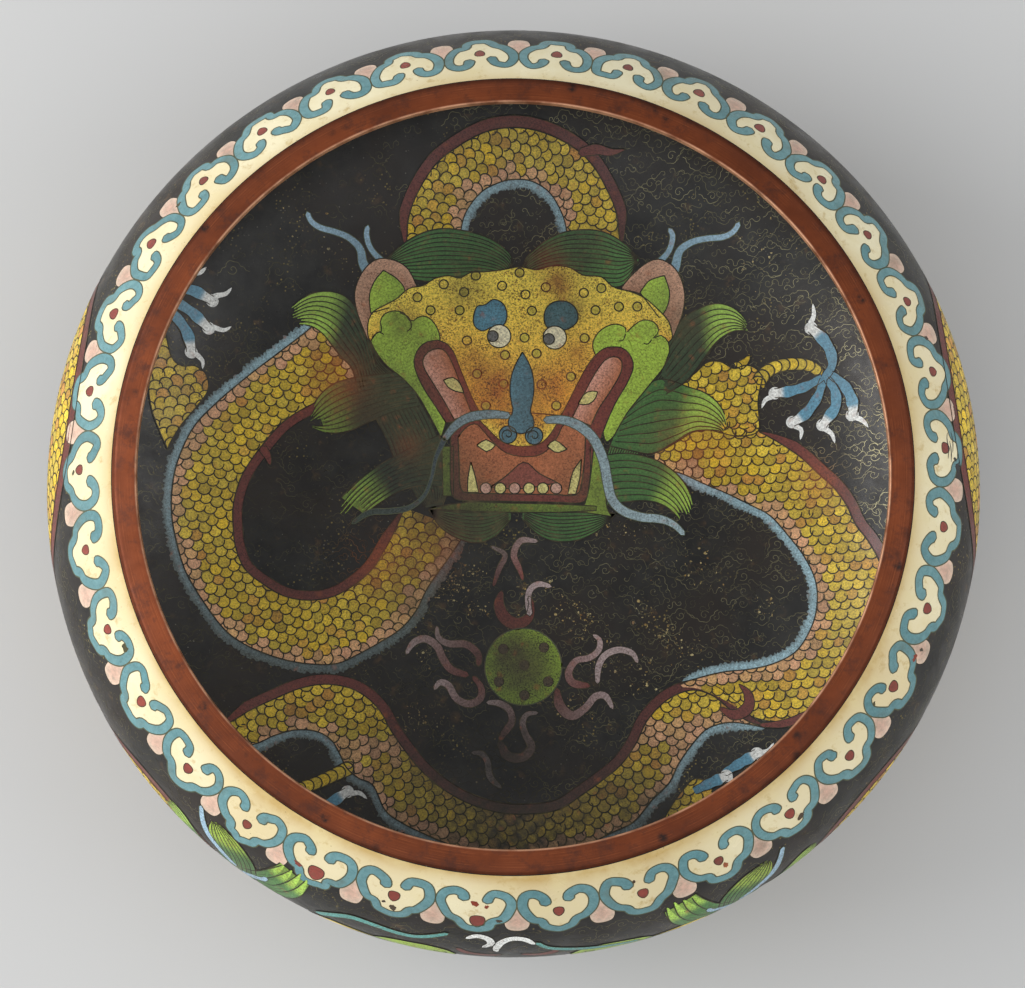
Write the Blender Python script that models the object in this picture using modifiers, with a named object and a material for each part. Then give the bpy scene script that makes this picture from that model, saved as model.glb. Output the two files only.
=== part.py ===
"""A wide, low cloisonne bowl with an incurved mouth: an enamelled copper body, a bare copper
ring round the mouth and a copper foot ring. Metres, +Z up, the origin on the table under the
middle of the bowl. Enamel and inlaid wires lie flush with each other on the real bowl, so the
picture on it is only colour, and the body is one smooth turned shell.
"""

import math

import bpy

# The mouth, measured to the inner edge of its copper ring.
MOUTH_RADIUS = 0.1160
RIM_WIDTH = 0.0080
RIM_RISE = 0.0022
RIM_THICKNESS = 0.0036
RIM_EDGE_RADIUS = 0.0008

# The shoulder, from the ring out to the widest part of the bowl.
SHOULDER_REACH = 0.0260
SHOULDER_HEIGHT = 0.0418

# The belly, from the widest part down to the flat base.
BELLY_DEPTH = 0.0530
BASE_FLAT_RADIUS = 0.0700

# Copper with enamel on both faces.
WALL = 0.0030

# The foot ring.
FOOT_RADIUS = 0.0885
FOOT_WALL = 0.0040
FOOT_RECESS = 0.0080
FOOT_EDGE_RADIUS = 0.0010

# The solder seam that keeps the rings clear of the body.
SOLDER_GAP = 0.0003

# How finely the curves are cut.
TURN_STEPS = 80
SHOULDER_SEGMENTS = 8
BELLY_SEGMENTS = 12
ROUND_SEGMENTS = 2

# sRGB colours of the two materials.
BLACK_ENAMEL = "221F1D"
AGED_COPPER = "874E30"


JOINT_RADIUS = MOUTH_RADIUS + RIM_WIDTH
WIDEST_RADIUS = JOINT_RADIUS + SHOULDER_REACH
WIDEST_HEIGHT = FOOT_RECESS + BELLY_DEPTH
JOINT_HEIGHT = WIDEST_HEIGHT + SHOULDER_HEIGHT
MOUTH_HEIGHT = JOINT_HEIGHT + RIM_RISE


def clear_scene():
    """Removes every object of the scene that the script starts from."""
    for thing in list(bpy.data.objects):
        bpy.data.objects.remove(thing, do_unlink=True)


def linear(channel):
    """One sRGB channel from 0 to 1, turned into linear light."""
    if channel <= 0.04045:
        return channel / 12.92
    return ((channel + 0.055) / 1.055) ** 2.4


def make_material(name, srgb_hex, roughness, metallic):
    """A Principled material with one colour."""
    channels = [int(srgb_hex[i : i + 2], 16) / 255 for i in (0, 2, 4)]
    material = bpy.data.materials.new(name)
    material.use_nodes = True
    shader = material.node_tree.nodes["Principled BSDF"]
    shader.inputs["Base Color"].default_value = [linear(c) for c in channels] + [1.0]
    shader.inputs["Roughness"].default_value = roughness
    shader.inputs["Metallic"].default_value = metallic
    return material


def shoulder_point(share, depth):
    """A point of the shoulder, from the widest part (share 0) to the ring (share 1), moved
    inwards by depth along the surface's normal. The shoulder is a parabola: its radius falls
    with the square of the height above the widest part."""
    rise = share * SHOULDER_HEIGHT
    fall = SHOULDER_REACH / SHOULDER_HEIGHT**2
    normal = (1.0, 2 * fall * rise)
    length = math.hypot(*normal)
    radius = WIDEST_RADIUS - fall * rise**2 - depth * normal[0] / length
    height = WIDEST_HEIGHT + rise - depth * normal[1] / length
    return radius, height


def belly_point(share, depth):
    """A point of the belly, from the widest part (share 0) to the edge of the flat base
    (share 1), moved inwards by depth. The belly is a quarter of an ellipse."""
    reach = WIDEST_RADIUS - BASE_FLAT_RADIUS
    turn = share * math.pi / 2
    normal = (math.cos(turn) / reach, -math.sin(turn) / BELLY_DEPTH)
    length = math.hypot(*normal)
    radius = BASE_FLAT_RADIUS + reach * math.cos(turn) - depth * normal[0] / length
    height = WIDEST_HEIGHT - BELLY_DEPTH * math.sin(turn) - depth * normal[1] / length
    return radius, height


def underside_height(radius):
    """How high the body's outer face is above the table, under the belly or the flat base."""
    if radius <= BASE_FLAT_RADIUS:
        return FOOT_RECESS
    share = (radius - BASE_FLAT_RADIUS) / (WIDEST_RADIUS - BASE_FLAT_RADIUS)
    return WIDEST_HEIGHT - BELLY_DEPTH * math.sqrt(1 - share**2)


def rounded_corner(before, corner, after, radius):
    """The points of a round that replaces a corner: a quadratic curve between the two points
    that lie the radius away from the corner on its sides."""
    ends = []
    for other in (before, after):
        length = math.dist(corner, other)
        share = min(radius / length, 0.5)
        ends.append([c + (o - c) * share for c, o in zip(corner, other)])
    points = []
    for step in range(ROUND_SEGMENTS + 1):
        t = step / ROUND_SEGMENTS
        weights = ((1 - t) ** 2, 2 * t * (1 - t), t**2)
        triple = (ends[0], corner, ends[1])
        points.append(tuple(sum(w * p[axis] for w, p in zip(weights, triple)) for axis in (0, 1)))
    return points


def turned(name, profile, closed, material, collection):
    """A solid of revolution about Z, from a profile of (radius, height) points that runs down
    its outer side."""
    mesh = bpy.data.meshes.new(name)
    edges = [(i, i + 1) for i in range(len(profile) - 1)]
    if closed:
        edges.append((len(profile) - 1, 0))
    mesh.from_pydata([(radius, 0.0, height) for radius, height in profile], edges, [])
    thing = bpy.data.objects.new(name, mesh)
    collection.objects.link(thing)
    screw = thing.modifiers.new("Turn", "SCREW")
    screw.axis = "Z"
    screw.angle = 2 * math.pi
    screw.steps = TURN_STEPS
    screw.render_steps = TURN_STEPS
    screw.use_merge_vertices = True
    screw.merge_threshold = 0.00001
    screw.use_smooth_shade = True
    mesh.materials.append(material)
    return thing


def make_body(material, collection):
    """The hollow body: up the inside from the middle of the floor, over the edge that the mouth
    ring is soldered to, and down the outside to the middle of the base."""
    shoulder = [step / SHOULDER_SEGMENTS for step in range(SHOULDER_SEGMENTS + 1)]
    belly = [step / BELLY_SEGMENTS for step in range(BELLY_SEGMENTS + 1)]
    inside = [belly_point(share, WALL) for share in reversed(belly)]
    inside += [shoulder_point(share, WALL) for share in shoulder[1:]]
    outside = [shoulder_point(share, 0.0) for share in reversed(shoulder)]
    outside += [belly_point(share, 0.0) for share in belly[1:]]
    floor_middle = (0.0, inside[0][1])
    base_middle = (0.0, outside[-1][1])
    profile = [floor_middle] + inside + outside + [base_middle]
    return turned("bowl_body", profile, False, material, collection)


def make_mouth_rim(material, collection):
    """The copper ring of the mouth: it carries on the line of the shoulder inwards, nearly
    flat, with its two inner edges rounded."""
    edge_outer = shoulder_point(1.0, 0.0)
    edge_inner = shoulder_point(1.0, WALL)
    across = [(o - i) / WALL for o, i in zip(edge_outer, edge_inner)]
    along = (-across[1], across[0])
    top_outer = tuple(p + SOLDER_GAP * a for p, a in zip(edge_outer, along))
    bottom_outer = tuple(p + SOLDER_GAP * a for p, a in zip(edge_inner, along))
    top_inner = (MOUTH_RADIUS, MOUTH_HEIGHT)
    bottom_inner = (MOUTH_RADIUS, MOUTH_HEIGHT - RIM_THICKNESS)
    profile = rounded_corner(bottom_inner, top_inner, top_outer, RIM_EDGE_RADIUS)
    profile += [top_outer, bottom_outer]
    profile += rounded_corner(bottom_outer, bottom_inner, top_inner, RIM_EDGE_RADIUS)
    return turned("mouth_rim", profile, True, material, collection)


def make_foot_ring(material, collection):
    """The foot: a plain upright copper ring whose top follows the underside of the body."""
    inner_radius = FOOT_RADIUS - FOOT_WALL
    top_inner = (inner_radius, underside_height(inner_radius) - SOLDER_GAP)
    top_outer = (FOOT_RADIUS, underside_height(FOOT_RADIUS) - SOLDER_GAP)
    bottom_outer = (FOOT_RADIUS, 0.0)
    bottom_inner = (inner_radius, 0.0)
    profile = [top_inner, top_outer]
    profile += rounded_corner(top_outer, bottom_outer, bottom_inner, FOOT_EDGE_RADIUS)
    profile.append(bottom_inner)
    return turned("foot_ring", profile, True, material, collection)


def main():
    clear_scene()
    collection = bpy.data.collections.new("cloisonne_bowl")
    bpy.context.scene.collection.children.link(collection)
    enamel = make_material("black_enamel", BLACK_ENAMEL, 0.35, 0.0)
    copper = make_material("aged_copper", AGED_COPPER, 0.45, 0.8)
    make_body(enamel, collection)
    make_mouth_rim(copper, collection)
    make_foot_ring(copper, collection)


main()
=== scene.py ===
"""Dresses the cloisonne bowl: fired enamel inside and out with a dragon, a pearl, scroll wires
and a border of trefoil heads, and a bare copper ring at the mouth and at the foot.

Sizes of the picture are millimetres. Inside the bowl a point of the picture is (x, y) as seen
from above. On the outside it is (u, v): u runs round the bowl from the front, measured on a
circle of SPREAD_RADIUS, and v runs down the wall from the edge that the copper ring sits on.
"""

import math

import bpy
import numpy as np
from bpy.props import FloatProperty, FloatVectorProperty, PointerProperty
from mathutils import Matrix, Vector


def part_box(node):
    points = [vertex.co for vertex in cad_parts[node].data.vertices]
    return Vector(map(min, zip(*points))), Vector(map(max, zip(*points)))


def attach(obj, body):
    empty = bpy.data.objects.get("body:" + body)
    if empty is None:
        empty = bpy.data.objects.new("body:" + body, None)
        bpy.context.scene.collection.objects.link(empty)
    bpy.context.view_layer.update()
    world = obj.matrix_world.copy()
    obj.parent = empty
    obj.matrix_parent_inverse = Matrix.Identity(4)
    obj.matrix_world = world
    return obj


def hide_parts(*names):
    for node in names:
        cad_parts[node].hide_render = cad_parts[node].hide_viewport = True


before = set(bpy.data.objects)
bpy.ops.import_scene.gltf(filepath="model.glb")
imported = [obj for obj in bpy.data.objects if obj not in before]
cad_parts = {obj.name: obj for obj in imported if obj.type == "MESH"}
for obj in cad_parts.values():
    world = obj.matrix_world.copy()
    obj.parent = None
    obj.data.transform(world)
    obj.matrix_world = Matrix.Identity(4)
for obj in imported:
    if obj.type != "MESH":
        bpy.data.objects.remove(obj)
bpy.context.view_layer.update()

bl_info = {
    "name": "Cloisonne Bowl",
    "version": (1, 0, 0),
    "blender": (4, 5, 0),
    "location": "View3D > Sidebar > Bowl",
    "description": "Builds the enamel, the wires and the copper rings of a cloisonne bowl",
    "category": "Object",
}

MM = 0.001

# The bowl's driving sizes in millimetres, as in the part's source.
MOUTH_RADIUS = 116.0
RIM_WIDTH = 8.0
RIM_RISE = 2.2
RIM_THICKNESS = 3.6
RIM_EDGE_RADIUS = 0.8
SHOULDER_REACH = 26.0
SHOULDER_HEIGHT = 41.8
BELLY_DEPTH = 53.0
BASE_FLAT_RADIUS = 70.0
WALL = 3.0
FOOT_RADIUS = 88.5
FOOT_WALL = 4.0
FOOT_RECESS = 8.0
FOOT_EDGE_RADIUS = 1.0
SOLDER_GAP = 0.3

JOINT_RADIUS = MOUTH_RADIUS + RIM_WIDTH
WIDEST_RADIUS = JOINT_RADIUS + SHOULDER_REACH
WIDEST_HEIGHT = FOOT_RECESS + BELLY_DEPTH
JOINT_HEIGHT = WIDEST_HEIGHT + SHOULDER_HEIGHT
MOUTH_HEIGHT = JOINT_HEIGHT + RIM_RISE

# How finely the turned pieces are cut.
TURN_STEPS = 240
PROFILE_STEPS = 70

# A profile point nearer to the axis than this lies on it, and a face whose diagonals have a
# smaller cross product than this, in square metres, is closed up.
ON_THE_AXIS = 1e-9
CLOSED_UP = 2e-10

# A path with this many points is drawn as it is. One with fewer is made smooth first.
SMOOTH_ALREADY = 40

# How grainy the glass of most cells is, from 0 to 1.
USUAL_GRAIN = 0.6

# The circle on which the outside picture's u is measured.
SPREAD_RADIUS = 133.0
HALF_WAY_ROUND = math.pi * SPREAD_RADIUS

# Lifts of the layers above the black ground, in millimetres.
SCROLL_LIFT = 0.03
BAND_LIFT = 0.06
UNDER_SCALE_LIFT = 0.062
SCALE_LIFT = 0.15
SCALE_TILT = 0.06
LINE_LIFT = 0.24
HAIR_LIFT = 0.26
FACE_LIFT = 0.31
FEATURE_LIFT = 0.36
DETAIL_LIFT = 0.42
TOP_LIFT = 0.48
# The outer face is seen along its surface, so its layers lie closer.
OUTSIDE_LIFT_SHARE = 0.45

# Wire widths as they show in the picture.
WIRE = 0.42
FINE_WIRE = 0.28
SCROLL_WIRE = 0.15


def linear(srgb_hex):
    """An sRGB hex colour as linear red, green and blue."""
    channels = np.array([int(srgb_hex[i : i + 2], 16) for i in (0, 2, 4)]) / 255
    return np.where(channels <= 0.04045, channels / 12.92, ((channels + 0.055) / 1.055) ** 2.4)


# Enamel colours.
BLACK = linear("24211F")
CREAM = linear("EADFBA")
CREAM_STAINED = linear("BE9E5E")
TURQUOISE = linear("6E979A")
TURQUOISE_DEEP = linear("4F8086")
ROSE = linear("D8AE98")
ROSE_PALE = linear("E2C4AC")
DOT_RED = linear("8A3B2E")
SCALE_YELLOW = linear("E8C020")
SCALE_OLIVE = linear("C2A42C")
SCALE_PALE = linear("E2C846")
SCALE_ORANGE = linear("C4863A")
SCALE_ROSE = linear("DCA67E")
FIN_BLUE = linear("A4C6D0")
FIN_GREY = linear("68726E")
MAROON = linear("5E2E28")
MAROON_WARM = linear("74362C")
HAIR_DARK = linear("36472C")
HAIR_GREEN = linear("4C7A3C")
HAIR_LIGHT = linear("A2C650")
CHEEK_GREEN = linear("AECC48")
CHEEK_DEEP = linear("90AC3E")
OCHRE = linear("FFE458")
OCHRE_DEEP = linear("F0A636")
BROW_BLUE = linear("5E90A2")
BROW_DEEP = linear("4C6E72")
NOSE_GREY = linear("5E8490")
MOUTH_ROSE = linear("B46C44")
MOUTH_DEEP = linear("8A4A3C")
GUM_ROSE = linear("DDA28C")
TOOTH = linear("D8CC80")
TOOTH_ROSE = linear("C89C88")
EYE_WHITE = linear("EEE4BE")
PUPIL_GREY = linear("6C6B66")
HORN_ROSE = linear("D0A284")
HORN_DEEP = linear("A8785C")
ANTLER_BLUE = linear("A0BFD2")
ANTLER_DEEP = linear("7E9FAE")
WHISKER_GREY = linear("94A8AC")
WHISKER_DIM = linear("4E5A4C")
PEARL_GREEN = linear("92AE38")
PEARL_DEEP = linear("6E7A2C")
PEARL_SPOT = linear("5A4A34")
FLAME_RED = linear("6E3228")
FLAME_PALE = linear("BCA6A2")
NAIL_WHITE = linear("F4F4EE")
CLAW_BLUE = linear("6199B2")
WIRE_DARK = linear("241F12")
WIRE_OLIVE = linear("4E5540")
WIRE_PALE = linear("7A7458")
STAIN_BROWN = linear("3E2E1C")
STAIN_RED = linear("8A3218")
STAIN_ORANGE = linear("AE5220")
# Colours of the chips in the black ground, partly polish in pits and partly painted glints.
FLECK_AND_GLINT_OCHRE = linear("A8843A")
FLECK_AND_GLINT_PALE = linear("CFC08A")
FILM_OLIVE = linear("4A4426")
FILM_DARK = linear("221E18")
# Dark olive for the painted shadow that the front rim casts on the front wall inside.
PAINTED_SHADE_OLIVE = linear("2A240E")


# Curves in the plane of the picture


def smooth(points, step=1.2, closed=False):
    """A Catmull-Rom curve through the points, set out again in even steps of about the given
    length: each span is the usual cubic of its two ends and their two neighbours."""
    points = np.asarray(points, dtype=float)
    if closed:
        padded = np.concatenate([points[-1:], points, points[:2]])
    else:
        padded = np.concatenate([2 * points[:1] - points[1:2], points, 2 * points[-1:] - points[-2:-1]])
    t = np.linspace(0, 1, 13)[:-1, None]
    p0, p1, p2, p3 = (padded[i : len(padded) - 3 + i, None] for i in range(4))
    cubic = 2 * p1 + (p2 - p0) * t + (2 * p0 - 5 * p1 + 4 * p2 - p3) * t**2
    cubic = (cubic + (3 * p1 - p0 - 3 * p2 + p3) * t**3) / 2
    curve = np.concatenate([cubic.reshape(-1, points.shape[1]), padded[-2:-1]])
    return even(curve, max(2, int(round(length_of(curve) / step)) + 1))


def length_of(curve):
    """The length of a line of points."""
    return float(np.linalg.norm(np.diff(curve, axis=0), axis=1).sum())


def run_of(curve):
    """How far along a line of points each of them lies."""
    return np.concatenate([[0], np.cumsum(np.linalg.norm(np.diff(curve, axis=0), axis=1))])


def even(curve, count):
    """The curve set out again with this many points at even distances along it."""
    along = run_of(curve)
    places = np.linspace(0, along[-1], count)
    return np.stack([np.interp(places, along, column) for column in curve.T], 1)


def directions(path):
    """The unit direction of a path at each of its points, from the difference of its neighbours."""
    difference = np.gradient(path, axis=0)
    return difference / np.maximum(np.linalg.norm(difference, axis=1, keepdims=True), 1e-9)


def to_the_left(path):
    """The unit normal on the left of a path at each of its points."""
    along = directions(path)
    return np.stack([-along[:, 1], along[:, 0]], 1)


def shares(path):
    """How far along the path each point lies, from 0 to 1."""
    along = run_of(path)
    return along / along[-1]


def mix(first, second, share):
    """A blend of two colours, with the share as an array of any shape."""
    share = np.asarray(share, dtype=float)[..., None]
    return first * (1 - share) + second * share


def spread(values, path):
    """Values given at even shares of a path, read at each of its points."""
    return np.interp(shares(path), np.linspace(0, 1, len(values)), values)


def loop(first, second):
    """The closed outline of two edges that run the same way."""
    return np.concatenate([first, second[::-1]])


def rotated(x, y, angle, middle=(0.0, 0.0)):
    """Points (x, y) turned round the origin by an angle and set round a middle."""
    c, s = np.cos(angle), np.sin(angle)
    return np.stack([middle[0] + c * x - s * y, middle[1] + s * x + c * y], -1)


def ribbon(path, widths):
    """Three rows of points: a path in the middle, and two lines half its width away from it."""
    left = to_the_left(path) * widths[:, None] / 2
    return path[None] + left[None] * np.array([-1.0, 0.0, 1.0])[:, None, None]


def around(middle, radius, count=20, squash=1.0, turn=0.0):
    """An ellipse of points round a middle, its second axis shortened by squash and turned."""
    angle = np.linspace(0, 2 * np.pi, count, endpoint=False)
    return rotated(radius * np.cos(angle), radius * squash * np.sin(angle), turn, middle)


def inside_and_edge(points, outline):
    """For each point, whether it lies inside the closed outline (an even-odd count of the edges
    crossed on its right), the nearest point of the outline and the distance to it."""
    start = outline[None]
    end = np.roll(outline, -1, axis=0)[None]
    here = points[:, None]
    above = (start[..., 1] > here[..., 1]) != (end[..., 1] > here[..., 1])
    rise = np.where(end[..., 1] == start[..., 1], 1e-12, end[..., 1] - start[..., 1])
    crossing = start[..., 0] + (here[..., 1] - start[..., 1]) * (end[..., 0] - start[..., 0]) / rise
    inside = (above & (crossing > here[..., 0])).sum(1) % 2 == 1
    run = end - start
    share = ((here - start) * run).sum(2) / np.maximum((run**2).sum(2), 1e-12)
    nearest = start + run * share.clip(0, 1)[..., None]
    gap = np.linalg.norm(nearest - here, axis=2)
    best = gap.argmin(1)
    rows = np.arange(len(points))
    return inside, nearest[rows, best], gap[rows, best]


# The bowl's surfaces


def wall_curve(depth):
    """The wall's profile from the mouth's edge out over the shoulder, down the belly and in to the
    middle of the base, moved inwards by depth along its normal. The shoulder is a parabola, whose
    radius falls with the square of the height above the widest part, the belly a quarter of an
    ellipse. Gives rows of radius, height and the outward normal's two parts."""
    rise = np.linspace(SHOULDER_HEIGHT, 0, 60)
    fall = SHOULDER_REACH / SHOULDER_HEIGHT**2
    shoulder = np.stack([WIDEST_RADIUS - fall * rise**2, WIDEST_HEIGHT + rise], 1)
    shoulder_normal = np.stack([np.ones_like(rise), 2 * fall * rise], 1)
    reach = WIDEST_RADIUS - BASE_FLAT_RADIUS
    turn = np.linspace(0, np.pi / 2, 160)[1:]
    belly = [BASE_FLAT_RADIUS + reach * np.cos(turn), WIDEST_HEIGHT - BELLY_DEPTH * np.sin(turn)]
    belly = np.stack(belly, 1)
    belly_normal = np.stack([np.cos(turn) / reach, -np.sin(turn) / BELLY_DEPTH], 1)
    radius = np.linspace(BASE_FLAT_RADIUS, 0, 40)[1:]
    base = np.stack([radius, np.full_like(radius, FOOT_RECESS)], 1)
    base_normal = np.tile([0.0, -1.0], (len(radius), 1))
    places = np.concatenate([shoulder, belly, base])
    normals = np.concatenate([shoulder_normal, belly_normal, base_normal])
    normals /= np.linalg.norm(normals, axis=1, keepdims=True)
    places = places - depth * normals
    places[-1, 0] = 0.0
    return np.concatenate([places, normals], 1)


OUTER = wall_curve(0.0)
INNER = wall_curve(WALL)
OUTER_DOWN, INNER_DOWN = run_of(OUTER[:, :2]), run_of(INNER[:, :2])
INNER_LOWER = slice(int(np.argmax(INNER[:, 0])), len(INNER))


def read_profile(curve, along, places):
    """The profile's four values at the given places along it."""
    return np.stack([np.interp(places, along, curve[:, i]) for i in range(4)], -1)


def turned_places(profile, across, forward, lift, side):
    """Points and normals in metres, from profile values and the unit direction (across, forward)
    from the bowl's axis. side is 1 on the outer face and -1 on the inner face."""
    radius, height, out, up = np.moveaxis(profile, -1, 0)
    radius = radius + side * lift * out
    height = height + side * lift * up
    places = np.stack([radius * across, radius * forward, height], -1) * MM
    normals = np.stack([side * out * across, side * out * forward, side * up], -1)
    return places, normals


def on_inside(points, lift):
    """Puts points of the plan on the floor and the lower wall inside the bowl, straight below
    where they are seen from above."""
    radius = np.hypot(points[:, 0], points[:, 1]).clip(1e-6, None)
    across, forward = points[:, 0] / radius, points[:, 1] / radius
    lower = INNER[INNER_LOWER][::-1]
    profile = read_profile(lower, lower[:, 0], radius.clip(None, WIDEST_RADIUS - WALL - 0.05))
    return turned_places(profile, across, forward, lift, -1)


def on_wall(curve, down, points, lift, side):
    """Puts (u, v) points on a face of the wall: the angle from the front is u over the radius on
    which u is measured, and v is the way down the wall."""
    angle = points[:, 0] / SPREAD_RADIUS
    profile = read_profile(curve, down, points[:, 1])
    return turned_places(profile, np.sin(angle), -np.cos(angle), lift, side)


def on_outside(points, lift):
    """Puts (u, v) points on the outer face."""
    return on_wall(OUTER, OUTER_DOWN, points, lift * OUTSIDE_LIFT_SHARE, 1)


def on_inner_wall(points, lift):
    """Puts (u, v) points on the inner face of the wall."""
    return on_wall(INNER, INNER_DOWN, points, lift, -1)


# Stains of the picture inside, and the painted shadow of the front rim on the front wall: middle, radius,
# colour and strength.
STAINS_AND_PAINTED_SHADE = [
    (-36, 20, 5, STAIN_ORANGE, 0.35), (-58, 40, 9, STAIN_ORANGE, 0.45), (-50, 29, 8, STAIN_BROWN, 0.8),
    (-42, 36, 14, FILM_OLIVE, 0.5), (-44, 12, 14, FILM_DARK, 0.45),
    (-30, 0, 14, FILM_DARK, 0.5), (-26, 16, 9, FILM_OLIVE, 0.6), (-14, 2, 10, FILM_OLIVE, 0.45),
    (19, 67, 5, FILM_OLIVE, 0.7), (15.5, 76, 5, STAIN_RED, 0.75), (12, 84, 6, STAIN_RED, 0.4),
    (-17, 74, 8, FILM_OLIVE, 0.5), (-36, -30, 15, FILM_OLIVE, 0.45), (3, 26, 8, STAIN_ORANGE, 0.5),
    (-6, 40, 10, STAIN_ORANGE, 0.75), (13, 41, 8, STAIN_ORANGE, 0.65),
    (22, 52, 5, STAIN_RED, 0.5), (-15, 50, 6, STAIN_RED, 0.4), (27, 88, 8, STAIN_BROWN, 0.5),
    (-38, 63, 7, FILM_OLIVE, 0.55), (-30, 55, 5, FILM_OLIVE, 0.35), (58, 62, 7, FILM_OLIVE, 0.5),
    (-64, 47, 8, STAIN_ORANGE, 0.35), (-46, -18, 12, STAIN_ORANGE, 0.4), (-24, -16, 9, STAIN_ORANGE, 0.4),
    (62, 20, 12, STAIN_ORANGE, 0.35), (103, 8, 8, STAIN_ORANGE, 0.4), (-86, -60, 9, FILM_OLIVE, 0.2),
    (-1, -50, 9, STAIN_BROWN, 0.75), (3, -57, 9, FILM_OLIVE, 0.5),
    # The dark olive spots at (0, -116) and (42, -104) are painted shadow of the front rim on the front
    # wall, not stains.
    (-3, -84, 17, FILM_DARK, 0.72), (-30, -84, 26, FILM_DARK, 0.35), (0, -116, 40, PAINTED_SHADE_OLIVE, 0.85),
    (42, -104, 20, PAINTED_SHADE_OLIVE, 0.6),
    (-5, -30, 12, FILM_DARK, 0.4), (-14, -52, 10, FILM_DARK, 0.35), (-20, -10, 14, FILM_DARK, 0.5),
    (24, 5, 8, FILM_OLIVE, 0.4), (-4, -8, 10, FILM_OLIVE, 0.4), (45, 92, 7, FILM_OLIVE, 0.4),
]


def stain_and_shade(points, colours):
    """Blends the stains and the painted shadow into colours of points: each fades with the square of the
    distance over its radius, and three crossed waves break up its edge."""
    x, y = points.T
    ripple = np.sin(x * 0.9 + 1.3 * np.sin(y * 0.5)) + np.sin(y * 1.1 - 0.6 * x)
    ripple = ripple + np.sin(x * 2.1 + y * 1.7)
    for middle_x, middle_y, radius, colour, strength in STAINS_AND_PAINTED_SHADE:
        gap = ((x - middle_x) ** 2 + (y - middle_y) ** 2) / radius**2
        colours = mix(colours, colour, (strength * np.exp(-gap) * (1 + 0.1 * ripple)).clip(0, 1))
    return colours


# Meshes


def new_piece(name, places, faces, normals, colours, material, slot, *nodes):
    """A mesh object at the origin with its own normals and, where colours are given, the colour
    attribute "fired" that its material reads. It rides on the root body."""
    mesh = bpy.data.meshes.new(name)
    mesh.from_pydata(places, [], faces)
    mesh.update()
    mesh.shade_smooth()
    if colours is not None:
        fired = mesh.color_attributes.new("fired", "FLOAT_COLOR", "POINT")
        fired.data.foreach_set("color", np.asarray(colours, dtype=float).ravel())
    if normals is not None:
        mesh.normals_split_custom_set_from_vertices(normals)
    mesh.materials.append(material)
    piece = bpy.data.objects.new(name, mesh)
    bpy.context.scene.collection.objects.link(piece)
    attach(piece, "root")
    if nodes:
        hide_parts(*nodes)


def turned_piece(name, profile, closed, material, slot, *nodes):
    """A solid of revolution: every profile point (radius, height) goes round the axis in even
    steps. An end on the axis becomes one vertex with a fan of triangles. The profile runs with
    the material on its left."""
    angle = np.linspace(0, 2 * np.pi, TURN_STEPS, endpoint=False)
    ring = np.stack([np.cos(angle), np.sin(angle)], 1)
    poles = profile[:, 0] < ON_THE_AXIS
    body = profile[~poles]
    heights = np.repeat(body[:, None, 1:], TURN_STEPS, 1)
    places = np.concatenate([body[:, None, :1] * ring, heights], 2).reshape(-1, 3)
    number = np.arange(len(places)).reshape(len(body), TURN_STEPS)
    number = np.concatenate([number, number[:, :1]], 1)
    if closed:
        number = np.concatenate([number, number[:1]])
    corners = [number[:-1, :-1], number[:-1, 1:], number[1:, 1:], number[1:, :-1]]
    faces = np.stack(corners, -1).reshape(-1, 4).tolist()
    for end, order in ((0, 1), (-1, -1)):
        if poles[end]:
            rim = number[end]
            pole = np.full(TURN_STEPS, len(places))
            places = np.concatenate([places, [[0.0, 0.0, profile[end, 1]]]])
            faces += np.stack([*(rim[1:], rim[:-1])[::order], pole], 1).tolist()
    new_piece(name, places * MM, faces, None, None, material, slot, *nodes)


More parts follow.
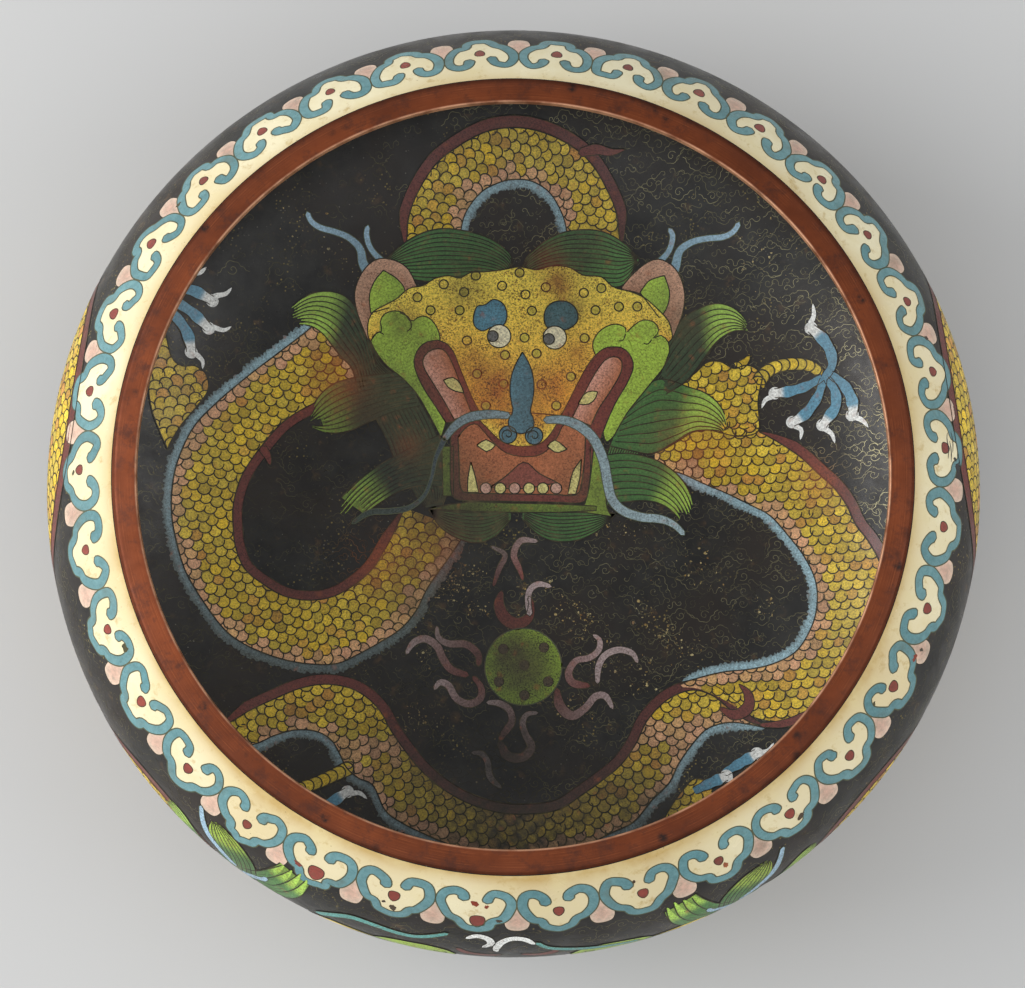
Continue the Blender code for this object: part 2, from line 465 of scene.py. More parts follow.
class Inlay:
    """Gathers the patches of one piece as grids of picture points, each with a lift and a colour,
    and puts them all on the bowl at the end. Faces are turned to the side that the bowl's face
    looks to, and faces that a trim has closed up are left out."""

    def __init__(self, place):
        self.place = place
        self.points, self.lifts, self.colours, self.grains, self.faces = [], [], [], [], []
        self.count = 0
        self.grain = USUAL_GRAIN

    def add(self, points, lift, colour, quads):
        """Adds points (n, 2) with their lifts, colours and faces."""
        self.points.append(points)
        self.lifts.append(lift)
        self.colours.append(colour)
        self.grains.append(np.full(len(points), self.grain))
        self.faces.append(quads + self.count)
        self.count += len(points)

    def grid(self, points, lift, colour):
        """Adds a grid of points (rows, columns, 2)."""
        shape = points.shape[:2]
        lift = np.broadcast_to(lift, shape).ravel()
        colour = np.broadcast_to(colour, shape + (3,)).reshape(-1, 3)
        self.add(points.reshape(-1, 2), lift, colour, grid_faces(*shape))

    def copies(self, points, lift, colour, quads):
        """Adds many patches of the same make: points (k, n, 2) and the faces of one."""
        k, n = points.shape[:2]
        lift = np.broadcast_to(lift, (k, n)).ravel()
        colour = np.broadcast_to(colour, (k, n, 3)).reshape(-1, 3)
        every = (quads[None] + np.arange(k)[:, None, None] * n).reshape(-1, 4)
        self.add(points.reshape(-1, 2), lift, colour, every)

    def between(self, first, second, lift, colour_first, colour_second=None, step=2.0, curved=True):
        """A sheet between two edges: straight lines from each point of the first edge to the
        point of the second at the same share of its length."""
        if curved:
            first, second = smooth(first, 1.0), smooth(second, 1.0)
        count = max(4, int(max(length_of(first), length_of(second)) / step) + 1)
        first, second = even(first, count), even(second, count)
        widest = np.linalg.norm(first - second, axis=1).max()
        share = np.linspace(0, 1, max(2, int(widest / step) + 2))[:, None]
        points = first[None] * (1 - share[..., None]) + second[None] * share[..., None]
        if colour_second is None:
            colour_second = colour_first
        self.grid(points, lift, mix(colour_first, colour_second, share))
        return loop(first, second)

    def blob(self, outline, middle, lift, colour, edge_colour=None, rings=3):
        """A filled outline: rings of points that shrink from the outline to its middle."""
        share = np.linspace(1, 0, rings + 1)[:, None, None]
        closed = np.concatenate([outline, outline[:1]])
        points = np.asarray(middle) * (1 - share) + closed[None] * share
        if edge_colour is None:
            edge_colour = colour
        self.grid(points, lift, mix(colour, edge_colour, share[..., 0] ** 2))

    def stroke(self, path, width, lift, colour, colour_end=None, rounded=True, step=1.0):
        """A band along a path: its width is read along the path and its ends are rounded by a
        half circle. Gives back its two edges."""
        path = smooth(path, step) if len(path) < SMOOTH_ALREADY else path
        share = shares(path)
        widths = spread(width, path)
        if rounded:
            total = length_of(path)
            for from_end in (share * total, (1 - share) * total):
                near = (from_end / np.maximum(widths / 2, 1e-6)).clip(0, 1)
                widths = widths * np.sqrt(np.maximum(1 - (1 - near) ** 2, 0.0))
        points = ribbon(path, widths)
        self.grid(points, lift, mix(colour, colour if colour_end is None else colour_end, share))
        return points[0], points[-1]

    def wire(self, path, lift, colour=WIRE_DARK, width=WIRE, closed=False):
        """A flat wire along a line of points."""
        if closed:
            path = np.concatenate([path, path[:2]])
        left = to_the_left(path) * width / 2
        self.grid(np.stack([path - left, path + left]), lift, colour)

    def piece(self, name, material, slot):
        """Puts the patches on the bowl and makes the object. A quad whose two last corners are
        the same point is a triangle."""
        points, lifts = np.concatenate(self.points), np.concatenate(self.lifts)
        places, normals = self.place(points, lifts)
        faces = np.concatenate(self.faces)
        corner = places[faces]
        facing = np.cross(corner[:, 2] - corner[:, 0], corner[:, 3] - corner[:, 1])
        triangle = faces[:, 2] == faces[:, 3]
        a, b, c = np.moveaxis(corner[triangle, :3], 1, 0)
        facing[triangle] = np.cross(b - a, c - a)
        kept = np.linalg.norm(facing, axis=1) > CLOSED_UP
        wrong = (facing * normals[faces[:, 0]]).sum(1) < 0
        other_way = np.where(triangle[:, None], faces[:, [1, 0, 2, 2]], faces[:, ::-1])
        faces = np.where(wrong[:, None], other_way, faces)
        used = np.zeros(len(points), dtype=bool)
        used[faces[kept].ravel()] = True
        number = np.cumsum(used) - 1
        quads = number[faces[kept & ~triangle]].tolist()
        triangles = number[faces[kept & triangle][:, :3]].tolist()
        colours = np.concatenate(self.colours)[used]
        # Blends in the stains and the painted shadow of the front rim on the front wall.
        if self.place is on_inside:
            low = lifts[used] < DETAIL_LIFT
            colours[low] = stain_and_shade(points[used][low], colours[low])
        colours = np.c_[colours, np.concatenate(self.grains)[used]]
        faces = quads + triangles
        new_piece(name, places[used], faces, normals[used], colours, material, slot)


def grid_faces(rows, columns):
    """The quads of a grid of points."""
    corner = np.arange(rows - 1)[:, None] * columns + np.arange(columns - 1)
    return np.stack([corner, corner + 1, corner + columns + 1, corner + columns], -1).reshape(-1, 4)


def fan_of(count):
    """The triangles between a middle point and a ring of points, as quads that end in the same
    point twice."""
    step = np.arange(count)
    middle = np.zeros_like(step)
    return np.stack([1 + step, 1 + (step + 1) % count, middle, middle], 1)


def cell(
    areas, lines, outline, middle, lift, colour, edge=None, rings=3, over=0.015, wire=WIRE_DARK, width=WIRE
):
    """A filled outline and the wire round it, a little above it."""
    areas.blob(outline, middle, lift, colour, edge, rings)
    lines.wire(outline, lift + over, wire, width, closed=True)


def edged(areas, lines, path, width, lift, colour, colour_end=None, over=0.02, wire=WIRE_OLIVE):
    """A band along a path with a fine wire on both edges, a little above it."""
    for edge in areas.stroke(path, width, lift, colour, colour_end):
        lines.wire(edge, lift + over, wire, FINE_WIRE)


# Dragon scales

SCALE_ROUND = 14
SCALE_RADIUS = 2.3
SCALE_SPACING = 3.7
OUTSIDE_SPACING = 3.9
# How far a scale's middle may lie outside its body, and how near to the edge it is trimmed.
SCALE_OVERHANG = 1.3
SCALE_TRIM_REACH = 2.7
# How far from the finned edge scales are rose.
ROSE_REACH = 4.2
# How far the first row of a fin or band lies under the body's edge.
UNDER_EDGE = -0.35


def scale_disc():
    """One scale as a disc: a middle point, a ring at six tenths and a ring at the edge. Gives its
    points (n, 2) with the free end along +x, and its faces."""
    ring = around((0, 0), 1.0, SCALE_ROUND)
    points = np.concatenate([[[0.0, 0.0]], ring * 0.6, ring]) * SCALE_RADIUS
    fan = fan_of(SCALE_ROUND)
    band = np.c_[fan[:, :2], fan[:, [1, 0]] + SCALE_ROUND]
    return points, np.concatenate([fan, band])


def scale_wire():
    """The wire round the free end of a scale, a little more than half of its edge, as points and
    faces. What reaches under a neighbour is hidden by it."""
    angle = np.radians(np.linspace(-98, 98, 12))
    ring = np.stack([np.cos(angle), np.sin(angle)], 1)
    points = np.concatenate([ring * (SCALE_RADIUS - 0.38), ring * (SCALE_RADIUS + 0.06)])
    return points, grid_faces(2, len(angle))


def flow_at(places, anchors):
    """The direction in which scales point: a mean of the anchors' directions (x, y, degrees),
    each weighted by one over the third power of its distance."""
    anchors = np.asarray(anchors, dtype=float)
    gap = ((places[:, None] - anchors[None, :, :2]) ** 2).sum(2) + 4.0
    angle = np.radians(anchors[:, 2])
    toward = np.stack([np.cos(angle), np.sin(angle)], 1)
    summed = (toward[None] / (gap**1.5)[..., None]).sum(1)
    return summed / np.linalg.norm(summed, axis=1, keepdims=True)


def lattice(outline, spacing, turn):
    """The points of a lattice of equal triangles that reach over an outline, turned by an angle
    in degrees."""
    low, high = outline.min(0), outline.max(0)
    reach = np.linalg.norm(high - low) / 2 + spacing
    rows = np.arange(-reach, reach, spacing * math.sqrt(0.75))
    x, y = np.meshgrid(np.arange(-reach, reach, spacing), rows)
    x[::2] += spacing / 2
    return rotated(x, y, math.radians(turn), (low + high) / 2).reshape(-1, 2)


def set_scales(discs, wires, middles, angle, size, colour, outline, near):
    """Puts a disc and its wire at each middle, turned to its angle and tilted: its root lies low
    and its free end high, so that neighbours overlap as real scales do. Points of the scales
    near the outline that fall outside it are moved to its nearest point."""

    def placed(local, lift):
        x, y = local[None, :, 0] * size[:, None], local[None, :, 1] * size[:, None]
        points = rotated(x, y, angle[:, None], (middles[:, :1], middles[:, 1:]))
        flat = points.reshape(-1, 2)
        close = np.repeat(near, len(local))
        within, edge, _ = inside_and_edge(flat[close], outline)
        flat[close] = np.where(within[:, None], flat[close], edge)
        tilt = SCALE_TILT * (local[:, 0] + 0.35 * local[:, 1]) / SCALE_RADIUS
        return flat.reshape(points.shape), lift + tilt

    local, faces = scale_disc()
    turn = np.linspace(0, 2 * np.pi, SCALE_ROUND, endpoint=False)
    shade = np.concatenate([[1.16], np.full(SCALE_ROUND, 1.12), 0.86 + 0.12 * np.cos(turn)])
    discs.copies(*placed(local, SCALE_LIFT), colour[:, None] * shade[None, :, None], faces)
    local, faces = scale_wire()
    wires.copies(*placed(local, SCALE_LIFT + 0.012), WIRE_DARK, faces)


def scale_colours(rng, count, rose, orange):
    """Yellow to olive colours for scales, some of them rose or orange, each a little lighter or
    darker than the next."""
    colour = mix(SCALE_YELLOW, SCALE_OLIVE, rng.random(count))
    colour = mix(colour, SCALE_PALE, rng.random(count) * 0.6)
    colour = mix(colour, SCALE_ORANGE, orange * rng.uniform(0.3, 0.9, count))
    colour = mix(colour, SCALE_ROSE, rose * rng.uniform(0.7, 1.0, count))
    return colour * rng.uniform(0.72, 1.12, count)[:, None]


def lay_scales(discs, wires, outline, anchors, rose_edge, seed, spacing=SCALE_SPACING, turn=15.0):
    """Covers an outline with scales that point along the flow. Next to the rose edge, if there
    is one, they are rose, elsewhere yellow to olive."""
    rng = np.random.default_rng(seed)
    middles = lattice(outline, spacing, turn)
    middles = middles + rng.normal(0, 0.22, middles.shape)
    inside, _, gap = inside_and_edge(middles, outline)
    keep = inside | (gap < SCALE_OVERHANG)
    middles, near = middles[keep], ~inside[keep] | (gap[keep] < SCALE_TRIM_REACH)
    count = len(middles)
    flow = flow_at(middles, anchors)
    angle = np.arctan2(flow[:, 1], flow[:, 0]) + rng.normal(0, 0.08, count)
    size = rng.normal(1.0, 0.04, count).clip(0.9, 1.12)
    rosy = 0.0
    if rose_edge is not None:
        rosy = np.exp(-((inside_and_edge(middles, rose_edge)[2] / ROSE_REACH) ** 4))
    rose = rng.random(count) < rosy
    orange = rng.random(count) < 0.16
    colour = scale_colours(rng, count, rose, orange)
    set_scales(discs, wires, middles, angle, size, colour, outline, near)


def lay_scale_row(discs, wires, path, widths, seed):
    """One row of scales along an arm, each as wide as the arm there."""
    rng = np.random.default_rng(seed)
    edges = ribbon(path, widths)
    count = int(length_of(path) / 2.5)
    middles = even(path, count)
    heading = directions(middles)
    size = np.interp(np.linspace(0, 1, count), shares(path), widths) / 2 / SCALE_RADIUS * 1.08
    colour = scale_colours(rng, count, np.zeros(count), np.zeros(count))
    angle = np.arctan2(heading[:, 1], heading[:, 0])
    outline = loop(edges[2], edges[0])
    set_scales(discs, wires, middles, angle, size, colour, outline, np.ones(count, dtype=bool))


def away_from(path, outline):
    """The unit normals of a path on the side that lies outside the outline."""
    left = to_the_left(path)
    middle = len(path) // 2
    probe = (path + left)[middle : middle + 1]
    return -left if inside_and_edge(probe, outline)[0][0] else left


def narrowed(path, over, power):
    """The share of its full width that a strip along a path has, less over a distance from each
    of its ends."""
    share = shares(path)
    return np.minimum(1, np.minimum(share, 1 - share) * length_of(path) / over) ** power


def beside(path, outline, rows):
    """Rows of points along a path: the first a little under it, and the others at their distances
    from it on the side that lies outside the outline."""
    rows = np.concatenate([np.full((1, len(path)), UNDER_EDGE), rows])
    return path[None] + away_from(path, outline)[None] * rows[..., None]


def serrated_fin(inlay, edge, outline, width, seed, greys=(0.0, 0.0), tooth=0.75):
    """A fin along an edge of the body, on the side away from it: its inner line is smooth, its
    outer line has small uneven teeth, and it narrows at both ends. Its grey share is read along
    the fin."""
    rng = np.random.default_rng(seed)
    path = even(edge, int(length_of(edge) / 0.5) + 2)
    taper = narrowed(path, 9.0, 0.6)
    wave = 0.25 * np.sin(shares(path) * length_of(path) / 2.3 + 1.0)
    reach = (width + wave + rng.uniform(-tooth, tooth * 0.6, len(path))) * taper
    rows = np.outer([0.45 * width, 0.78 * width], taper)
    points = beside(path, outline, np.concatenate([rows, reach[None].clip(0.05, None)]))
    grain = rng.uniform(0.78, 1.12, (4, len(path)))[..., None]
    tone = (np.array([0.1, 0.0, 0.3, 0.75])[:, None] + spread(greys, path)).clip(0, 1)
    inlay.grid(points, BAND_LIFT, mix(FIN_BLUE, FIN_GREY * 0.75, tone) * grain)


def nearest_index(path, place):
    """The number of the path's point that lies nearest to a place."""
    return int(np.linalg.norm(path - np.asarray(place), axis=1).argmin())


def plain_band(inlay, edge, outline, width, colour, colour_end):
    """A smooth band along an edge of the body, on the side away from it. Gives its outer edge."""
    path = even(edge, int(length_of(edge) / 1.1) + 2)
    points = beside(path, outline, np.outer([width * 0.5, width], narrowed(path, 12.0, 0.7)))
    inlay.grid(points, BAND_LIFT, mix(colour, colour_end, shares(path)))
    return points[-1]


# The dragon inside the bowl. Each body is given by its edge with the blue fin and its edge with
# the maroon band, both from its root to its end, and by the directions that its scales point in.

BODIES = {
    "top": {
        "fin": [(-18.5, 88), (-18, 95), (-16, 101), (-11, 107), (-5, 110), (0, 111), (6, 110.5),
                (12, 107), (16, 101), (18, 95), (18.5, 88)],
        "band": [(-37, 88), (-36.5, 92), (-36, 98), (-33, 106), (-27, 115), (-20, 120.5),
                 (-10, 125.5), (0, 127), (10, 125.5), (20, 121), (27, 115), (32, 107), (35, 100),
                 (36, 93), (36.5, 88)],
        "flow": [(-28, 92, 90), (-26, 106, 72), (-14, 117, 30), (0, 119, 0), (14, 117, -35),
                 (24, 108, -70), (28, 95, -90)],
        "turn": 45, "width": 3.2, "band_width": 3.6, "greys": (0.35, 0.1, 0.35),
        "band_ends": ((-37, 88), (36.5, 88)),
    },
    "left": {
        "fin": [(-66, 66), (-69, 61), (-80, 52), (-90, 44), (-100, 35), (-108, 26), (-113, 15),
                (-115, 5), (-115, -5), (-113, -15), (-110, -24), (-104, -34), (-97, -43), (-90, -48),
                (-80, -52), (-70, -54), (-60, -54), (-52, -50.5), (-44, -46), (-38, -42), (-33, -36),
                (-29, -28), (-22, -18), (-16, -9)],
        "band": [(-50, 44), (-59, 40), (-68, 35), (-75, 31), (-80, 27), (-85, 21), (-90, 14),
                 (-93, 8), (-95, 0), (-95, -8), (-94, -15), (-91, -22), (-85, -27), (-78, -31),
                 (-70, -32.5), (-62, -31.5), (-55, -28), (-48, -22), (-43, -14), (-40, -8), (-37, -1)],
        "flow": [(-65, 50, -95), (-85, 38, -100), (-100, 20, -98), (-104, 0, -92),
                 (-102, -20, -82), (-92, -36, -80), (-78, -43, -75), (-66, -43, -60), (-58, -41, 60),
                 (-50, -36, 85), (-40, -26, 90), (-31, -14, 88)],
        "turn": 45, "width": 3.1, "band_width": 3.2, "greys": (0.0, 0.2, 0.5, 0.8, 0.9, 0.9, 0.8),
        "band_ends": ((-50, 44), (-37, -1)),
    },
    "right": {
        "fin": [(48, 12), (56, 11), (65, 7), (72, 4), (80, 0), (87, -4), (93, -11), (98, -18),
                (101.5, -26), (102, -34), (100, -42), (95, -50), (88, -54), (80, -56), (70, -57),
                (60, -59.5), (56, -61)],
        "band": [(48, 22), (56, 26), (66, 29), (76, 28), (83, 25), (90, 21), (97, 16), (103, 10),
                 (108, 5), (112, -1), (115, -8), (119, -14), (122.5, -22), (124, -32), (123, -42),
                 (119, -52), (112, -61), (104, -67.5), (97, -71.5), (90, -74), (80, -72), (70, -66),
                 (62, -62.5), (57, -62)],
        "flow": [(55, 19, -60), (68, 18, -80), (82, 14, -92), (98, 2, -95), (109, -12, -93),
                 (113, -28, -92), (110, -44, -92), (100, -58, -90), (84, -63, -90), (68, -60, -90)],
        "turn": 3, "width": 3.0, "band_width": 3.4, "greys": (0.3, 0.1, 0.0, 0.0, 0.1),
        "band_ends": ((83, 25), (86, -73.6)),
    },
    "bottom": {
        "fin": [(-98, -84), (-92, -83), (-85, -81), (-80, -78.5), (-73, -76.5), (-66, -77),
                (-61, -80), (-58, -85), (-56, -89), (-52, -92.5), (-47, -95), (-43, -103), (-38, -107),
                (-30, -111), (-20, -115), (-8, -118), (8, -118.5), (22, -115.5), (32, -111), (40, -107),
                (46, -100), (52, -94), (55, -88), (60, -81), (65, -76), (72, -74), (79, -74.8),
                (84, -76)],
        "band": [(-99, -76), (-94, -74), (-88, -70), (-80, -66), (-72, -62.5), (-64, -61),
                 (-56, -62), (-50, -65), (-45, -70), (-41, -77), (-36, -84), (-31, -90), (-24, -96),
                 (-15, -101), (-5, -104), (5, -104.5), (15, -103), (23, -98), (30, -93), (36, -88),
                 (41, -81), (45, -73), (52, -66), (60, -63), (67, -65), (73, -70), (79, -74),
                 (84, -75.5)],
        "flow": [(-90, -77, 180), (-76, -70, -140), (-62, -70, -95), (-50, -78, -60),
                 (-40, -95, -45), (-20, -107, -35), (0, -111, -40), (22, -107, -70), (38, -97, -90),
                 (48, -84, -92), (58, -72, -90), (70, -70, -60)],
        "turn": 38, "width": 3.0, "band_width": 3.4, "greys": (0.5, 0.6, 0.5, 0.3, 0.2),
        "band_ends": ((-99, -76), (84, -75.5)),
    },
}

# Short pointed spikes that leave the maroon bands, from root to tip.
SPIKES = [
    ([(22, 119), (28, 120), (33, 119), (38, 119.6)], [2.5, 3.4, 2.4, 0.4]),
    ([(-86, 20), (-83.8, 16.8), (-82.8, 13.4)], [3.2, 2.6, 0.8]),
    ([(69, -69), (74, -71.5), (78.5, -69), (78.6, -64.5), (75.6, -61)], [1.0, 3.4, 4.0, 3.0, 0.4]),
    ([(82, -75), (89, -74.8), (95, -73), (103, -69)], [1.2, 2.6, 2.8, 1.2]),
]

# Thighs and upper legs: two edges, and the directions that their scales point in.
THIGHS = [
    (
        [(-117, 56), (-121, 47), (-122.5, 38), (-121.5, 30), (-119, 23), (-116.6, 17.5)],
        [(-117, 56), (-115.2, 48.5), (-112, 45.8), (-108, 46.2), (-104.4, 43.8), (-103.6, 38.5),
         (-107, 33), (-112, 26.5), (-115.5, 20.5), (-116.6, 17.5)],
        [(-118, 50, 95), (-112, 38, 85), (-116, 25, 100)],
    ),
    (
        [(50, 38), (57, 41.8), (62, 45.3), (66, 48.8), (70.5, 49), (75, 46.6), (79, 47.6), (82.5, 46.4),
         (84.8, 43.5)],
        [(50, 26), (57, 28), (64, 26.5), (71, 24.5), (77, 23.4), (83, 24.8), (83.4, 30), (83.2, 36),
         (84.8, 43.5)],
        [(60, 38, -60), (72, 38, -85), (80, 33, -90), (78, 44, -70)],
    ),
    (
        [(49, -108), (52, -102.5), (56, -97), (60, -93), (64.5, -93.5)],
        [(49, -108), (58, -106), (63, -102.5), (66.5, -98.5), (64.5, -93.5)],
        [(58, -99, -60), (54, -104, -80)],
    ),
]

# Arms: one row of scales along a path, with widths.
ARMS = [
    ([(83, 41), (85.5, 44.6), (89.5, 46.8), (95, 47.4), (100.5, 46.4), (104.6, 43.2)],
        [5.5, 4.6, 4.3, 4.2, 3.8, 3.2]),
    ([(76, 47), (78.6, 48.6), (80.6, 51)], [3.6, 2.6, 1.2]),
    ([(-79, -98.5), (-72, -96.4), (-66, -94.4), (-60, -91.6), (-53.5, -88.4)], [3.6, 4.0, 4.2, 4.4, 5]),
]

# Claws: the path of a blue finger, the middle of the nail's ball and the path of its hooked tip.
CLAWS = [
    ([(-120, 67.5), (-114, 70.6), (-108, 70.6), (-104, 69)], (-102, 68),
        [(-101, 69.5), (-97.5, 70.6), (-95.5, 72.8)]),
    ([(-120, 67), (-114, 66.4), (-109, 64), (-105.5, 61)], (-103.3, 58.9),
        [(-102, 59.4), (-98.5, 58.6), (-95.8, 60)]),
    ([(-120, 66), (-114.5, 62.5), (-110.5, 57.5), (-109.2, 53)], (-109, 50.6),
        [(-108.2, 50.6), (-105.4, 48), (-105.4, 45.2)]),
    ([(-118, 69), (-115, 73), (-111.5, 74.5)], (-109.5, 75),
        [(-108.5, 76), (-105.5, 76.6), (-103.5, 78.6)]),
    ([(105, 42), (107.6, 46), (107.2, 50.5), (105, 54.5), (102.8, 57)], (100.7, 59),
        [(100.4, 60.4), (101.6, 63), (101.2, 67)]),
    ([(104.5, 42.4), (99.5, 39.8), (94.5, 38.4), (91.6, 38)], (88.8, 37.8),
        [(88.2, 36.8), (85.6, 35.6), (84.4, 32.8)]),
    ([(105, 42), (103.2, 36.5), (100, 31.5), (97, 29)], (94.6, 27.8),
        [(95.2, 26.6), (97.6, 25), (97.2, 21.6)]),
    ([(106, 42), (108.6, 37.5), (108.8, 32.5), (106.4, 28.8)], (104.6, 26.4),
        [(105, 25.4), (107.6, 23.2), (108.6, 20)]),
    ([(107, 43.4), (111, 40), (113.6, 35.5), (114.4, 31.6)], (114.2, 29.2),
        [(115, 28.4), (117.4, 27.2), (119.4, 24.6)]),
    ([(-70, -104.5), (-65, -103), (-60, -100.4), (-57.5, -98.6)], (-55.4, -97.2),
        [(-54.4, -97.8), (-51.4, -97.6), (-48.8, -99.6)]),
    ([(60, -97), (65, -94.6), (68.5, -93)], (70.8, -92), [(71.6, -92.4), (73.4, -94.6), (76, -95.2)]),
    ([(70, -91), (75, -88), (78.5, -86)], (81, -84.6), [(82, -84.4), (84.8, -83.6), (86.6, -81)]),
]


def build_inside_bodies(discs, wires, bands, lines):
    """The four arcs of the dragon's body, with their fins, bands and edge wires."""
    for seed, body in enumerate(BODIES.values()):
        fin, band = smooth(body["fin"], 1.3), smooth(body["band"], 1.3)
        outline = loop(fin, band)
        bands.between(fin, band, UNDER_SCALE_LIFT, SCALE_OLIVE * 0.45, curved=False)
        lay_scales(discs, wires, outline, body["flow"], fin, 40 + seed, turn=body["turn"])
        serrated_fin(bands, fin, outline, body["width"], 60 + seed, body["greys"])
        first, last = (nearest_index(band, place) for place in body["band_ends"])
        band = band[first : last + 1]
        far = plain_band(bands, band, outline, body["band_width"], MAROON_WARM, MAROON)
        lines.wire(fin, LINE_LIFT)
        lines.wire(band, LINE_LIFT)
        lines.wire(far, LINE_LIFT, WIRE_DARK * 0.7, FINE_WIRE)


def build_legs(discs, wires, bands, areas, lines):
    """Thighs covered with scales, and arms of one row of scales."""
    for seed, (first, second, flow) in enumerate(THIGHS):
        first, second = smooth(first, 1.0), smooth(second, 1.0)
        bands.between(first, second, UNDER_SCALE_LIFT + 0.012, SCALE_YELLOW * 0.5, curved=False)
        outline = loop(first, second)
        lay_scales(discs, wires, outline, flow, None, 80 + seed)
        lines.wire(outline, LINE_LIFT + 0.01, closed=True)
    for seed, (path, width) in enumerate(ARMS):
        path = smooth(path, 0.8)
        widths = spread(width, path)
        edges = bands.stroke(path, widths, UNDER_SCALE_LIFT + 0.02, SCALE_YELLOW * 0.7)
        lay_scale_row(discs, wires, path, widths, 90 + seed)
        lines.wire(loop(*edges), LINE_LIFT + 0.01, closed=True)
    for path, width in SPIKES:
        edges = areas.stroke(path, width, HAIR_LIFT - 0.015, MAROON_WARM)
        lines.wire(loop(*edges), HAIR_LIFT, WIRE_DARK, FINE_WIRE, closed=True)


def build_claws(areas, lines):
    """Blue fingers with pale ball nails whose thin hooked tips leave them."""
    areas.grain = 0.2
    for path, ball, hook in CLAWS:
        finger = smooth(path + [ball], 0.6)
        share = shares(finger)
        width = np.interp(share, [0, 0.3, 0.75, 1], [2.2, 3.2, 3.9, 3.0]) + 0.25 * np.sin(share * 19)
        points = ribbon(finger, width)
        tone = mix(CLAW_BLUE * 0.8, CLAW_BLUE, share)
        areas.grid(points, HAIR_LIFT, mix(tone, NAIL_WHITE, ((share - 0.8) * 12).clip(0, 1)))
        for edge in points[::2]:
            lines.wire(edge, HAIR_LIFT + 0.03, width=FINE_WIRE)
        areas.stroke([ball, *hook], [1.8, 1.7, 1.3, 0.5], HAIR_LIFT + 0.012, NAIL_WHITE)
        areas.blob(around(ball, 2.1), ball, HAIR_LIFT + 0.018, NAIL_WHITE, NAIL_WHITE * 0.85, rings=2)


# The mane: each tuft has two edges from its root to its tips, root and tip colours, a number of
# strands and how uneven their ends are.
TUFTS = [
    ([(-50, 60), (-46, 50), (-40, 44), (-34, 38), (-29, 30), (-25, 20), (-22, 8), (-24, 0)],
        [(-56, 62), (-55, 50), (-50, 40), (-47, 30), (-43, 22), (-40, 14), (-36, 7), (-30, -1)],
        HAIR_DARK * 0.8, HAIR_DARK, 12, 0.0),
    ([(54, 60), (51, 48), (46, 41), (40, 34), (35, 26), (31, 14), (29, 0)],
        [(62, 58), (60, 50), (58, 44), (54, 34), (48, 24), (40, 14), (35, 0)], HAIR_DARK,
        HAIR_GREEN * 0.8, 12, 0.0),
    ([(-1, 82), (-1, 86), (-7, 91), (-15, 93.8), (-25, 94.8), (-34, 92), (-42, 86), (-45, 82)],
        [(-2, 76), (-6, 78), (-14, 78), (-22, 77), (-30, 77), (-36, 78), (-42, 80), (-45, 82)],
        HAIR_GREEN * 0.72, HAIR_GREEN * 0.85, 12, 0.0),
    ([(3, 82), (5, 86), (12, 91.5), (20, 94.2), (30, 93.8), (38, 89.5), (43, 84)],
        [(2, 76), (8, 78), (16, 78), (24, 76), (32, 75), (38, 76), (43, 84)], HAIR_GREEN * 0.66,
        HAIR_GREEN * 1.1, 12, 0.0),
    ([(-47, 48), (-50.1, 58.3), (-53.2, 65.8), (-56.3, 70.6), (-61.3, 72.9), (-67.4, 72.7),
     (-72.3, 70.4), (-75.8, 67.6)],
        [(-53, 38), (-55, 46.4), (-58.8, 50.7), (-61.9, 54.5), (-65, 58.5), (-68.7, 61), (-72, 61.6),
         (-75, 61)], HAIR_DARK, HAIR_LIGHT, 8, 0.06),
    ([(-36, 46), (-46, 44.8), (-55, 43.6), (-62, 41.2), (-67, 36.5), (-69.8, 30.2)],
        [(-32, 34), (-41, 32), (-49, 28.6), (-56, 25.4), (-62.5, 24.6), (-68.6, 26.4)], HAIR_DARK * 0.9,
        HAIR_LIGHT * 0.5, 9, 0.1),
    ([(-25, 24), (-33, 20.6), (-41, 16.4), (-49, 11.4), (-56, 5.4), (-61.5, -1.6)],
        [(-24, 6), (-31, 6.6), (-38, 5), (-44, 1.6), (-49, -2), (-53, -6)], HAIR_DARK * 0.8,
        HAIR_LIGHT * 0.8, 8, 0.15),
    ([(50, 50), (53, 58), (58.6, 64.5), (62.2, 66.6), (66.5, 68.4), (70.8, 68.6), (75.1, 67),
     (77.9, 64.3), (80.2, 61)],
        [(52, 38), (59.2, 42.8), (65.1, 50.4), (67.9, 54.3), (70.8, 57.1), (75.1, 59.3), (79.7, 59.2)],
        HAIR_DARK, HAIR_LIGHT, 7, 0.05),
    ([(37, 32), (43, 39), (49, 43), (54.5, 42.4), (59.5, 40.4), (64, 39), (68.3, 36.2), (71.5, 31.9),
     (72.8, 25.9)],
        [(33, 20), (40, 18.5), (46.9, 17.5), (54, 21), (60, 24.8), (64.9, 25.6), (69, 25.4), (72, 24.4)],
        HAIR_GREEN * 0.75, HAIR_LIGHT * 0.9, 7, 0.05),
    ([(31, 17), (38, 17.6), (46, 16.2), (53, 12.6), (58.5, 6.6), (61.6, -1.5)],
        [(32, 0), (38, 1), (44, 1.4), (49, 0.6), (53, -1.6), (56, -5)], HAIR_GREEN * 0.75,
        HAIR_LIGHT * 0.85, 7, 0.05),
    ([(-1, -1), (-10, -1.5), (-20, -1.5), (-29, -1.5)],
        [(-1, -5), (-6, -10.5), (-12, -13), (-19, -11.5), (-25, -7.5), (-29, -1.5)], HAIR_GREEN * 0.6,
        HAIR_GREEN * 0.75, 9, 0.0),
    ([(3, -1), (12, -1.5), (22, -1.5), (35, -3)],
        [(3, -5), (8, -10), (14, -12.5), (22, -12), (29, -8.5), (35, -3)], HAIR_GREEN * 0.66,
        HAIR_GREEN * 0.85, 9, 0.0),
]


